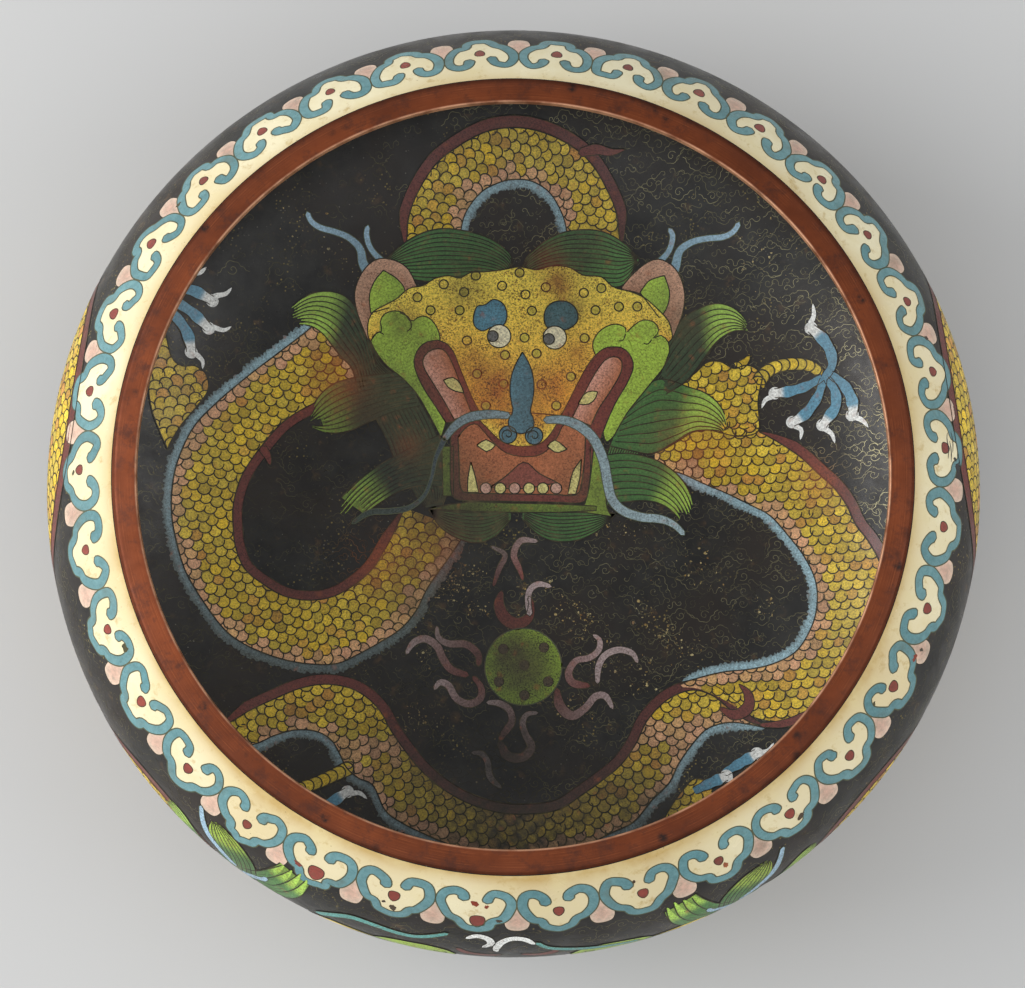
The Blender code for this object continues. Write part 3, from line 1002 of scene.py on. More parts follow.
def build_tuft(areas, lines, first, second, root, tip, strands, uneven, lift, seed=0):
    """A lock of hair between two edges: a dark sheet, and on it strands that share its width
    evenly. They turn light half way along and have round or pointed ends at uneven lengths. A
    wire lies between each two, and a fine one along the root half of every second strand."""
    rng = np.random.default_rng(900 + seed)
    first, second = smooth(first, 1.0), smooth(second, 1.0)
    count = max(8, int(max(length_of(first), length_of(second)) / 1.6))
    first, second = even(first, count), even(second, count)
    room = np.linalg.norm(first - second, axis=1)
    share = np.linspace(0, 1, max(3, int(room.max() / 2.0) + 2))[:, None, None]
    sheet = first[None] * (1 - share) + second[None] * share
    along = np.linspace(0, 1, count)
    covered = slice(0, count if uneven == 0 else max(4, int(count * 0.9)))
    areas.grid(sheet[:, covered], lift, (mix(root, tip, along**2) * 0.7)[covered])
    for strand in range(strands):
        part = (strand + 0.5) / strands
        reach = 1.0 if uneven == 0 else 1.0 - rng.uniform(-0.03, uneven)
        path = even(first * (1 - part) + second * part, count * 2)[: int(count * 2 * reach)]
        place = np.linspace(0, reach, len(path))
        width = np.interp(place, along, room / strands) * 1.02
        if uneven:
            start, power = (0.45, 1.3) if uneven > 0.12 else (0.8, 2)
            late = ((place / reach - start) / (1 - start)).clip(0, 1)
            width = width * np.sqrt(1 - late**power * 0.98)
        points = ribbon(path, width)
        light = ((place - 0.5) / 0.22).clip(0, 1)
        tone = mix(root, tip, light * light * (3 - 2 * light)) * rng.uniform(0.88, 1.12)
        tones = np.stack([tone * 0.75, tone * 1.08, tone * 0.95])
        areas.grid(points, lift + 0.008 + 0.0006 * strand, tones)
        lines.wire(points[0][1:-1], lift + 0.02, WIRE_DARK, WIRE * 0.9)
        if strand % 2:
            lines.wire(path[2 : len(path) // 2], lift + 0.02, WIRE_OLIVE * 0.7, FINE_WIRE * 0.7)
    for edge in (first, second):
        lines.wire(edge[: count if uneven == 0 else int(count * 0.9)], lift + 0.022)


def build_mane(areas, lines):
    """All locks of the mane and the beard. The first two are the mane's dark base."""
    for number, tuft in enumerate(TUFTS):
        lift = HAIR_LIFT - 0.02 if number < 2 else HAIR_LIFT + 0.01
        build_tuft(areas, lines, *tuft, lift, number)


# The head: areas between two edges, drawn in this order.
HEAD_AREAS = [
    ("horn root left", FACE_LIFT, HORN_ROSE, HORN_DEEP,
        [(-50, 57), (-53.5, 66), (-54.4, 73), (-52, 79.5), (-47.5, 84), (-42, 84.3), (-36.5, 81.5),
         (-33, 75)],
        [(-49.5, 57), (-48.5, 64), (-46, 68), (-44, 70), (-42, 71), (-39, 72), (-36, 73), (-33, 74.5)]),
    ("horn root right", FACE_LIFT, HORN_ROSE, HORN_DEEP,
        [(37, 75), (41, 79.5), (46, 83.3), (50.5, 84), (55.5, 80.5), (58.3, 73.5), (57.8, 66),
         (54.5, 57.5)],
        [(37, 74), (42, 73), (46, 71), (49, 69), (50.5, 66), (51.5, 63), (52.5, 60), (54, 57.5)]),
    ("ear left", FACE_LIFT + 0.015, CHEEK_GREEN, CHEEK_DEEP,
        [(-49, 66), (-49.4, 72), (-47.6, 77), (-44.6, 80.6)],
        [(-42, 68), (-38.5, 71), (-37.2, 74), (-40, 77.8), (-44.6, 80.6)]),
    ("ear right", FACE_LIFT + 0.015, CHEEK_GREEN, CHEEK_DEEP,
        [(43.2, 73), (46, 76.7), (49, 78), (51.6, 78.6)],
        [(50, 64), (52.5, 68), (53.3, 73), (51.6, 78.6)]),
    ("face", FACE_LIFT + 0.03, OCHRE, OCHRE_DEEP,
        [(-50, 59), (-49.8, 63), (-48, 66.5), (-44, 68.8), (-40, 71), (-36, 74.5), (-31, 75.5),
         (-27, 78), (-22, 79), (-18.5, 78), (-15, 80), (-10, 80.3), (-4, 81), (2, 82), (8, 81),
         (13, 82.3), (19, 81.8), (24, 79), (30, 78.5), (34, 75), (40, 73.3), (45, 71), (49.5, 67),
         (53, 63), (54.3, 58)],
        [(-49.5, 57), (-46, 52), (-40, 46), (-34, 40), (-29, 33), (-22, 30.5), (-14, 30), (-9, 26.5),
         (-4, 22), (2, 20), (8, 20.5), (12, 23.5), (16, 29), (22, 30), (29, 32), (36, 42), (44, 49),
         (51, 54), (54, 57)]),
    ("cheek left", FEATURE_LIFT, CHEEK_GREEN, CHEEK_DEEP * 1.2,
        [(-48.8, 56.5), (-47.5, 58.8), (-44.8, 60), (-45.8, 62.5), (-44.5, 65.5), (-41, 66.8),
         (-37.5, 66), (-35.2, 63), (-32, 65), (-28.5, 64), (-25.5, 59), (-25, 50), (-24, 40), (-23, 30),
         (-24.4, 24)],
        [(-48.8, 56), (-47, 52.5), (-43.5, 48), (-38, 43.5), (-33, 38), (-30, 33), (-27.3, 28),
         (-25, 23.5)]),
    ("cheek right", FEATURE_LIFT, CHEEK_GREEN * 1.05, CHEEK_GREEN * 0.8,
        [(53.2, 52.5), (52.8, 56), (50.2, 58.3), (47.2, 56.8), (49.6, 59.5), (48.3, 62.6), (44.3, 63.6),
         (40.8, 61.5), (38.2, 58.8), (38.4, 60.8), (35, 62.2), (31, 61), (28, 58), (27, 54), (30, 46),
         (31, 36), (30, 28), (31, 22.5)],
        [(53, 52), (51, 47), (47, 42), (43, 37), (39, 32), (36, 27), (33.7, 23), (31.6, 21.5)]),
    ("slot left", FEATURE_LIFT + 0.02, MAROON_WARM, MAROON_WARM,
        [(-23, 28), (-27.5, 35), (-31.3, 41), (-34, 48), (-33, 53), (-30, 55.9), (-26, 56.7)],
        [(-11.3, 31), (-14.3, 37), (-16.8, 43), (-18.8, 48), (-20.3, 52), (-22.8, 55.3), (-26, 56.7)]),
    ("slot left inside", FEATURE_LIFT + 0.035, GUM_ROSE, MOUTH_ROSE,
        [(-20.3, 29.3), (-24, 36), (-28, 42.5), (-31, 48), (-30.3, 51.5), (-28, 53.3), (-26, 53.7)],
        [(-14.2, 31), (-17, 38), (-19.5, 45), (-21.4, 49.5), (-22.8, 52), (-24.2, 53.5), (-26, 53.7)]),
    ("tooth left", FEATURE_LIFT + 0.05, TOOTH, TOOTH,
        [(-24, 42.8), (-21, 43.8), (-18.5, 42), (-17, 38.4)],
        [(-24, 42.8), (-22.5, 40.5), (-20, 39), (-17, 38.4)]),
    ("slot right", FEATURE_LIFT + 0.02, MAROON_WARM, MAROON_WARM,
        [(15.8, 30), (19, 36), (22, 42), (25, 47.5), (28, 51.5), (31.5, 54), (35, 54.3)],
        [(29.5, 22.5), (32, 29), (35, 35.5), (38.3, 41), (40.8, 47), (40, 51), (37.6, 53.7), (35, 54.3)]),
    ("slot right inside", FEATURE_LIFT + 0.035, GUM_ROSE, MOUTH_ROSE,
        [(20, 30), (23, 36), (26, 42), (29, 47), (31.5, 50), (34, 50.9)],
        [(26.2, 27), (29, 33), (33, 39), (36.4, 45), (37, 49), (35.6, 50.7), (34, 50.9)]),
    ("tooth right", FEATURE_LIFT + 0.05, TOOTH, TOOTH, [(22, 34.6), (24, 38), (26.5, 39), (28.6, 38.8)],
        [(22, 34.6), (25, 34.3), (27.6, 36), (28.6, 38.8)]),
    ("mouth corner left", FEATURE_LIFT, CHEEK_DEEP * 0.6, CHEEK_DEEP * 0.5,
        [(-24.5, 20), (-24.3, 12), (-24, 3)], [(-20.5, 20), (-20.5, 12), (-20.5, 3)]),
    ("mouth corner right", FEATURE_LIFT, CHEEK_DEEP, CHEEK_DEEP * 0.7,
        [(26, 20), (26, 10), (24, 0), (20, -2)], [(30, 17), (31, 9), (31.5, 0), (33, -4)]),
    ("lips", FEATURE_LIFT + 0.01, MAROON_WARM, MAROON_WARM,
        [(-21.3, 24), (-18.5, 27.3), (-13, 29), (-6, 27), (2, 26), (9, 26), (17, 29), (23, 28),
         (27.5, 23)],
        [(-21.5, 24), (-21.6, 14), (-21.4, 6), (-20.3, 2.2), (-15, 1.3), (-5, 1.2), (5, 1), (15, 0.8),
         (22.5, 0.6), (25, 3), (26.5, 13), (27.5, 23)]),
    ("mouth", FEATURE_LIFT + 0.025, MOUTH_ROSE, MOUTH_ROSE * 0.9,
        [(-19, 23), (-16.5, 26.3), (-13, 27.8), (-10.5, 25.5), (-7, 21.5), (-3, 18), (2, 16.6),
         (8, 16.8), (12, 19.3), (15, 23.5), (17, 27.4), (20.5, 27), (24.4, 23.3)],
        [(-19, 23), (-18.6, 14), (-18.3, 7), (-16.5, 4.2), (-5, 3.8), (5, 3.6), (15, 3.4), (20.8, 3.2),
         (22.8, 6), (24, 15), (24.4, 23.3)]),
    ("tongue", FEATURE_LIFT + 0.04, MOUTH_DEEP, MOUTH_DEEP,
        [(-8, 6), (-3, 9.5), (3.5, 14.6), (8.5, 10.8), (15, 7.5)], [(-8, 6), (3, 5.5), (15, 7.5)]),
    ("muzzle", FEATURE_LIFT + 0.03, OCHRE_DEEP, OCHRE, [(-13.5, 30.5), (-5, 31.5), (5, 31.5), (17, 30.5)],
        [(-13, 30.3), (-8.8, 26), (-4.6, 22), (0, 20.2), (4, 20), (8.8, 20.8), (12.3, 24), (16, 30)]),
    ("nose", DETAIL_LIFT + 0.01, NOSE_GREY, NOSE_GREY * 0.7,
        [(3, 52.5), (1, 49), (-0.6, 45), (-1.3, 40), (-0.8, 35), (-0.2, 32), (-1.9, 29), (-1, 25.5),
         (2.5, 24.3)],
        [(3, 52.5), (5, 49), (6.4, 45), (6.9, 40), (6.3, 35), (5.6, 32), (6.9, 29), (6.2, 25.5),
         (2.5, 24.3)]),
    ("fang left", DETAIL_LIFT, TOOTH, TOOTH, [(-14.6, 14.6), (-13.2, 10), (-12, 4.2)],
        [(-14.6, 14.6), (-15.6, 9), (-15.6, 4.2)]),
    ("fang right", DETAIL_LIFT, TOOTH, TOOTH * 0.9, [(23, 15.6), (22.4, 9), (21, 3.6)],
        [(23, 15.6), (20, 11), (18.4, 3.6)]),
    ("upper tooth left", DETAIL_LIFT, TOOTH, TOOTH, [(-12.6, 20.4), (-9.5, 22.3), (-6.2, 20.4)],
        [(-12.6, 20.4), (-9, 18.1), (-6.2, 20.4)]),
    ("upper tooth right", DETAIL_LIFT, TOOTH, TOOTH, [(11.4, 20), (14, 22.2), (18.2, 19)],
        [(11.4, 20), (14.5, 17.8), (18.2, 19)]),
    ("chin", FEATURE_LIFT + 0.04, CHEEK_DEEP * 0.5, CHEEK_DEEP * 0.35,
        [(-28, -1), (-15, 0.9), (0, 0.5), (15, 0.2), (28, -0.5)],
        [(-28, -1.5), (-15, -2.2), (0, -2.6), (15, -2.6), (28, -2)]),
]

BROWS = [
    ((-8, 65),
        [(-13.8, 64.5), (-12.6, 68.3), (-9.8, 68.9), (-6.8, 70.8), (-3.4, 69), (-2.3, 65), (-3.8, 61.6),
         (-7.5, 61.2), (-10.6, 59.8), (-13.3, 61.4)]),
    ((16, 65),
        [(10.6, 62.5), (10.8, 67), (13.6, 69.8), (18, 70), (21.2, 67.6), (21.9, 63.6), (19.6, 61),
         (16.4, 60), (12.8, 60.2)]),
]

FACE_RINGS = [
    (-24, 76), (-33, 71.5), (-28.5, 67), (-18.5, 67), (-16, 56.5), (-12.5, 45), (-9.5, 34), (-3, 51.5),
    (-4, 75.5), (-13, 79), (-17, 73.3), (2, 80), (4, 72.5), (6.2, 66.8), (3.7, 57.5), (7.8, 52),
    (9.5, 41.3), (19.5, 44), (24.2, 57.3), (28, 67), (24, 73), (30, 74.6), (36, 68.2), (42.3, 68.2),
    (11, 75), (-3.5, 41.5), (14.5, 34),
]

# Wires that curl into the cheeks' lobes.
CHEEK_HOOKS = [
    [(-48.5, 57), (-46.5, 59.5), (-44.4, 58.6)],
    [(-39, 66.2), (-36, 64.6), (-35, 61.2), (-36.6, 59.6)],
    [(38.2, 58.8), (37.4, 56.6), (36, 56.4)],
    [(47.2, 56.8), (45.8, 55.2), (44.4, 55.6)],
]

WHISKERS = [
    ([(-1, 30.5), (-8, 31), (-15, 30), (-20, 27), (-24, 22)], [2.2, 3.0, 3.2, 2.8, 2.0],
        WHISKER_GREY * 0.8, WHISKER_GREY * 0.6),
    ([(-23.4, 23), (-26.5, 16), (-28, 9), (-30.5, 3), (-35.5, -1), (-42, -2.2), (-49, -2.7), (-55, -6.5)],
        [2.0, 1.4, 1.2, 1.5, 2.0, 2.0, 1.2], WHISKER_GREY * 0.2, WHISKER_DIM * 0.6),
    ([(10, 29), (17, 29), (23, 26.5), (27.5, 22), (30.5, 15), (31.8, 8), (33.3, 2), (37, -2), (43, -4.2),
     (50, -5), (54.5, -7), (58, -10.5)], [2.4, 3.4, 3.4, 3.4, 3.2, 3.0, 1.8], WHISKER_GREY * 0.8,
        WHISKER_GREY * 1.2),
]

ANTLERS = [
    ([(-49.5, 79), (-51.6, 83), (-52.2, 86.6), (-53.6, 89), (-56.8, 91.4), (-61.1, 92.9), (-65.9, 94),
     (-68.9, 95.9), (-70.3, 99)], [3.6, 3.2, 2.7, 2.3, 2.1, 2.1, 2.0, 1.8]),
    ([(-43, 82), (-45.4, 84), (-47.9, 86.4), (-49.6, 89.2), (-50.3, 92.6), (-49.7, 95.6)],
        [2.6, 2.3, 2.0, 2.0, 2.0, 1.6]),
    ([(54, 78), (55.4, 82), (56.2, 85.6), (57.6, 87.6), (61.3, 89.6), (66.3, 90.4), (71.3, 90.6),
     (74.8, 92.2), (76.7, 95.2)], [3.6, 3.2, 2.7, 2.3, 2.1, 2.1, 2.0, 1.8]),
    ([(48, 82), (50.6, 84), (52.8, 86.4), (54, 89.4), (54.2, 92.2), (52.8, 94.4)],
        [2.6, 2.3, 2.0, 2.0, 2.0, 1.6]),
]


def spiral(middle, radius, turns, start=0.0, count=28):
    """A spiral whose radius grows evenly with its angle, from a fifth of the radius."""
    share = np.linspace(0.2, 1, count)
    angle = math.radians(start) + share * turns * 2 * np.pi
    return np.asarray(middle) + radius * np.stack([share * np.cos(angle), share * np.sin(angle)], 1)


def build_head(areas, lines):
    """The dragon's head: its areas from the horns to the nose, each with its edge wires, then
    brows, eyes, bumps, nostrils, teeth and whiskers."""
    for path, width in ANTLERS:
        edged(areas, lines, path, width, FACE_LIFT - 0.01, ANTLER_DEEP, ANTLER_BLUE, 0.006)
    for name, lift, colour, other, first, second in HEAD_AREAS:
        areas.grain = 1.0 if name in ("face", "muzzle") else USUAL_GRAIN
        outline = areas.between(first, second, lift, colour, other, step=1.7)
        lines.wire(outline, lift + 0.012, closed=True)
    for hook in CHEEK_HOOKS:
        lines.wire(smooth(hook, 1.0), FEATURE_LIFT + 0.014)
    areas.grain = USUAL_GRAIN
    for (middle, points), colour in zip(BROWS, (BROW_BLUE, BROW_DEEP)):
        outline = smooth(points, 1.0, closed=True)[:-1]
        cell(areas, lines, outline, middle, DETAIL_LIFT, colour, colour * 0.75)
    for middle, pupil in (((-5, 58), (-7.2, 58)), ((14, 57.5), (12, 57))):
        cell(areas, lines, around(middle, 4.0, 28), middle, DETAIL_LIFT + 0.02, EYE_WHITE)
        cell(areas, lines, around(pupil, 1.9), pupil, DETAIL_LIFT + 0.04, PUPIL_GREY, over=0.01)
    for number, middle in enumerate(FACE_RINGS):
        ring = around(middle, 1.55, 16)
        if number % 4:
            olive = OCHRE * [0.5, 0.55, 0.45]
            areas.blob(ring, middle, FACE_LIFT + 0.038, olive, OCHRE * 0.75, rings=1)
        lines.wire(ring, FACE_LIFT + 0.045, width=0.5, closed=True)
    for middle, start in (((-2, 24), 90), ((6.9, 23.6), 60)):
        cell(areas, lines, around(middle, 3.0, 24), middle, DETAIL_LIFT + 0.02, NOSE_GREY * 0.8)
        lines.wire(spiral(middle, 2.2, 1.4, start), DETAIL_LIFT + 0.035)
    for number, x in enumerate((-9.5, -4.6, 0.3, 5.2, 9.9, 14.4)):
        colour = TOOTH_ROSE if number in (0, 2, 5) else TOOTH
        cell(areas, lines, around((x, 5.6), 1.9, 18), (x, 5.6), DETAIL_LIFT, colour, over=0.012)
    for path, width, near_end, far_end in WHISKERS:
        edged(areas, lines, path, width, TOP_LIFT, near_end, far_end, 0.015)


# The pearl and its flames, as (path, widths, colour, end colour).
PEARL_MIDDLE = (3.2, -55)
PEARL_RADIUS = 13.0
PEARL_SPOTS = [(-3.5, -49), (10.2, -48.5), (-5, -60), (11.6, -60), (3.6, -64.6), (3.6, -54.5)]

FLAMES = [
    ([(-4, -29), (-5, -34), (-3, -38.5), (1, -40.5), (5, -38.5), (6, -34), (5, -31)],
        [1.5, 4.5, 5.5, 5.5, 4.5, 3, 1.5], FLAME_RED, FLAME_RED),
    ([(5.5, -38), (4.8, -33), (5.5, -29), (8.5, -27), (13, -28)], [2.5, 2.8, 3, 2.8, 1.8], FLAME_PALE,
        FLAME_PALE),
    ([(3.2, -26), (2, -22), (0, -17), (2.5, -12.2), (8.5, -12.5)], [1.2, 2.8, 3.2, 3, 1.6],
        FLAME_RED * 1.6, FLAME_PALE * 0.8),
    ([(-7, -28), (-5, -22), (-3, -17), (-8, -14)], [1.5, 2.6, 2.6, 1.4], FLAME_RED, FLAME_PALE * 0.5),
    ([(-36.5, -51), (-34, -47), (-30, -45.5), (-26, -48), (-24, -52), (-21, -56), (-15, -58)],
        [1.6, 3.2, 3.6, 3.6, 3.6, 3.5, 2.5], FLAME_PALE * 0.8, FLAME_RED * 1.2),
    ([(-26, -41), (-25.5, -45), (-22, -47.2), (-16, -47.5), (-12, -51), (-12, -55)],
        [1.5, 2.8, 3.4, 3.4, 3.4, 2], FLAME_PALE * 0.6, FLAME_RED * 1.2),
    ([(-27, -63), (-25, -60.3), (-22, -61.3), (-19.5, -65.5), (-15.5, -67.5), (-11.5, -66), (-11, -62),
     (-14, -58)], [1.6, 3.2, 3.4, 3.4, 3.4, 3.4, 3, 2], FLAME_PALE, FLAME_RED * 1.2),
    ([(26.5, -44), (29, -46), (28.6, -49.5), (25.5, -52), (21, -53), (18.5, -57), (20, -60.5),
     (26, -61.5)], [1.5, 2.8, 3, 3, 3.2, 3.6, 3.6, 2], FLAME_PALE, FLAME_RED * 1.2),
    ([(28.2, -61), (28.6, -55), (31, -51), (35.5, -49.3), (40, -50.5), (42, -54)],
        [2, 3, 3.2, 3.2, 3, 1.6], FLAME_PALE * 0.9, FLAME_PALE),
    ([(14.5, -62), (15.5, -68), (19.5, -71.5), (24, -69), (27.5, -65), (31, -65), (33.5, -69.5)],
        [2, 4.5, 4.5, 3.6, 3.4, 3.2, 1.6], FLAME_RED, FLAME_PALE),
    ([(-9.5, -67), (-5, -67.3), (-1.5, -69.5), (-0.7, -73.5), (-3, -77), (-5, -80)],
        [1.8, 3, 3.2, 3.2, 3.4, 2], FLAME_PALE * 0.9, FLAME_RED * 1.2),
    ([(8.5, -70.5), (4.5, -71), (3, -74), (4, -78), (6, -82), (3, -85.5), (-2, -85), (-5, -80)],
        [1.6, 2.6, 3, 3.4, 4, 4.2, 4.2, 2.4], FLAME_PALE * 0.7, FLAME_RED),
    ([(-14.5, -84), (-11, -84.2), (-8.8, -87), (-8, -92), (-4, -96)], [1.6, 2.8, 3, 3, 1.6],
        FLAME_PALE * 0.7, FLAME_PALE * 0.6),
]


def build_pearl(areas, lines, middle, radius, spots):
    """A green pearl: a disc that is darker in its middle, a wire round it and round dark spots."""
    areas.grain = 1.0
    disc = around(middle, radius, 60)
    cell(areas, lines, disc, middle, BAND_LIFT + 0.03, PEARL_DEEP, PEARL_GREEN, 7, 0.02, WIRE_OLIVE)
    for spot in spots:
        dot = around(spot, radius * 0.13, 14)
        cell(areas, lines, dot, spot, BAND_LIFT + 0.05, PEARL_SPOT, None, 1, 0.01, width=FINE_WIRE)


def build_flames(areas, lines, flames):
    """Flames as bands that narrow to both ends, each with a wire on both sides."""
    for number, (path, width, colour, colour_end) in enumerate(flames):
        lift = BAND_LIFT + 0.002 * number
        edged(areas, lines, path, np.array(width) * 0.78, lift, colour, colour_end, 0.03, WIRE_DARK)


# Clusters of pale and yellow chips in the black ground, partly pits filled with polish and partly painted
# glints of the pitted ground: middle, reach, number.
FLECKS_AND_GLINTS = [
    (-20, -28, 7, 70), (-12, -24, 4, 30), (4, -28, 4, 26), (11, -27, 3, 18), (24, -40, 7, 60),
    (18, -34, 5, 30),
    (30, -52, 8, 60), (52, -44, 7, 50), (46, -38, 6, 30), (-32, -72, 8, 50), (-12, -36, 5, 24),
    (30, -6, 6, 26),
    (38, -8, 5, 22), (60, -50, 6, 30), (20, -70, 8, 34), (2, -40, 4, 20), (-26, -50, 8, 30),
    (44, -60, 9, 40),
    (-72, 92, 12, 12), (-60, 84, 8, 8), (84, 84, 14, 30), (60, -20, 14, 40), (86, -34, 6, 24),
]


def build_flecks_and_glints(areas):
    """Small uneven chips of pale polish and painted glints, scattered in clusters."""
    rng = np.random.default_rng(77)
    chip = np.concatenate([[[0.0, 0.0]], around((0, 0), 1.0, 6)])
    for x, y, reach, count in FLECKS_AND_GLINTS:
        middles = rng.normal((x, y), reach * 0.42, (count, 2))
        size = (0.1 + rng.exponential(0.1, count)).clip(0.1, 0.42)
        stretch = rng.uniform(0.5, 1.5, (count, 2))
        places = middles[:, None] + chip[None] * size[:, None, None] * stretch[:, None]
        places = places + rng.normal(0, 0.05, places.shape)
        tone = mix(FLECK_AND_GLINT_OCHRE, FLECK_AND_GLINT_PALE, rng.random(count))
        tone = tone * rng.uniform(0.4, 1.1, count)[:, None]
        areas.copies(places, SCROLL_LIFT + 0.015, tone[:, None], fan_of(6))


# Scroll wires of the black ground

# How far from the bowl's axis they lie on the floor inside.
FLOOR_REACH = 138


def scroll_shapes():
    """Three small wire clouds, each of one or two lines round the origin in millimetres: a curl
    under a scalloped line with long ends, two curls joined by a bridge, and an S scroll."""
    scallops = [(-5.2, -1.3), (-4.0, -0.9), (-3.6, 0.2), (-2.5, 0.5), (-2.3, 1.6), (-1.0, 2.0)]
    scallops += [(0.4, 2.5), (1.6, 1.7), (2.0, 0.7), (3.2, 0.5), (3.7, -0.5), (5.0, -0.9)]
    curl = spiral((0.0, -0.2), 1.7, 1.4, 200, 16)
    left = spiral((-2.4, 0.0), 1.6, 1.1, -35, 12)
    right = spiral((2.4, 0.0), 1.6, -1.1, 215, 12)
    bridge = np.array([(-0.6, 1.4), (0.0, 1.05), (0.6, 1.4)])
    scroll = loop(spiral((-1.7, 0.0), 1.4, 1.0, 0, 12), spiral((1.9, 0.3), 1.5, 1.0, 180, 12))
    bridged = even(np.concatenate([left, bridge, right[::-1]]), 22)
    return [[even(smooth(scallops, 0.4), 22), even(curl, 13)], [bridged], [even(scroll, 18)]]


def lay_scrolls(inlay, middles, seed, colour, left=1.0):
    """Puts a cloud or scroll of wire at every middle, turned a little and mirrored at random. The
    wires are dimmed by a share towards the left, where film lies on them."""
    rng = np.random.default_rng(seed)
    kind = rng.choice(3, len(middles), p=[0.5, 0.3, 0.2])
    for number, shape in enumerate(scroll_shapes()):
        here = middles[kind == number]
        many = (len(here), 1)
        size = rng.uniform(*((0.7, 0.9) if number else (0.85, 1.1)), many)
        flip = rng.choice([-1.0, 1.0], many)
        angle = rng.normal(0, 0.3, many) + rng.integers(0, 2, many) * np.pi
        glow = rng.uniform(0.6, 1.35, many) * np.interp(here[:, :1], [-60, 5], [left, 1.0])
        for line in shape:
            side = to_the_left(line) * SCROLL_WIRE / 2
            local = np.concatenate([line - side, line + side])
            x, y = local[None, :, 0] * size, local[None, :, 1] * size * flip
            points = rotated(x, y, angle, (here[:, :1], here[:, 1:]))
            inlay.copies(points, SCROLL_LIFT, colour * glow[..., None], grid_faces(2, len(line)))


def scroll_middles(low, high, spacing, seed):
    """An uneven lattice of places for scrolls in a box."""
    rng = np.random.default_rng(seed)
    rows = np.arange(low[1], high[1], spacing * 0.8)
    x, y = np.meshgrid(np.arange(low[0], high[0], spacing), rows)
    x = x + (np.arange(len(x)) % 2)[:, None] * spacing / 2
    places = np.stack([x, y], -1).reshape(-1, 2)
    return places + rng.uniform(-0.28, 0.28, places.shape) * spacing


# Points of the cream ground along one head, and its rows down the wall.
HEAD_STEPS = 26
GROUND_ROWS = 12

# Border heads: the middle line of one half, from the curl's end round to the foot of the head.
HEAD_COUNT = 34
HEAD_PITCH = 2 * HALF_WAY_ROUND / HEAD_COUNT
FIRST_HEAD = 13.0
HALF_HEAD = [
    (-3.4, 12.2), (-3.7, 9.6), (-5.2, 7.8), (-7.6, 7.2), (-9.8, 8.6), (-10.7, 11.8), (-9.9, 15.4),
    (-7.6, 18.7), (-5.0, 19.9), (-3.9, 22.4), (-2.2, 23.6), (0, 23.9),
]
RIBBON = 3.15

# Red spots that sank in firing, by the number of their head: how far down, how much larger.
SUNK_SPOTS = {33: (4.6, 1.35), 31: (3.2, 1.6), 32: (0.0, 1.15)}

# The outline of a red spot round its middle.
RED_DROP = [
    (0, 2.5), (-1.4, 1.3), (-1.9, -0.4), (-1.5, -1.8), (0, -2.2), (1.5, -1.8), (1.9, -0.4), (1.4, 1.3),
]

# Pits and burnt spots in the border: place, radius and colour.
CHIPS = [
    (-152.5, 10, 1.5, FILM_OLIVE), (-36, 20.6, 1.3, STAIN_BROWN * 1.5), (-39, 19, 0.8, STAIN_BROWN * 1.4),
    (-11.6, 12, 1.3, STAIN_RED), (-8, 13, 0.9, STAIN_RED), (152, 18, 1.5, STAIN_RED),
    (155, 19.6, 0.9, STAIN_BROWN),
    (93, 19.6, 1.5, STAIN_BROWN * 1.6), (212, 22, 1.7, BLACK), (214, 20.4, 0.9, BLACK),
    (-67, 18.6, 1.4, DOT_RED),
    (38, 9.5, 0.8, STAIN_BROWN * 1.5), (-4, 19.4, 1.0, STAIN_BROWN * 1.5), (66, 18.5, 1.2, STAIN_ORANGE),
    (133, 11, 0.8, FILM_OLIVE), (-210, 19, 0.9, FILM_OLIVE), (252, 18, 1.0, STAIN_BROWN),
    (-300, 17, 1.1, FILM_OLIVE),
]
SCRATCHES = [
    [(214, 16.4), (217, 17), (220, 16.6), (222, 17.2)],
    [(213, 18), (216.5, 18.4), (219.4, 18)],
    [(216, 19.2), (219, 19.8), (222.4, 19.4)],
]


def hand_spaced(points):
    """Moves points of the border along it: the heads were set by eye, so they are a little wider
    apart on the front and left of it and closer at the right and the back."""
    angle = points[..., 0] / SPREAD_RADIUS
    shift = 0.9 + 4.56 * np.sin(angle) + 1.48 * np.cos(angle)
    shift -= 0.45 * np.sin(2 * angle) + 1.9 * np.cos(2 * angle)
    return np.stack([points[..., 0] + shift, points[..., 1]], -1)


def border_edge(u):
    """How far down the cream ground of a border head reaches at a distance from its middle."""
    half = np.array([0, 2.4, 4.4, 5.6, 7.8, 10.2, 11.0, 12.4])
    down = np.array([24.2, 23.8, 22.4, 20.3, 18.9, 15.6, 12.6, 12.2])
    return np.interp(np.abs(u), half, down)


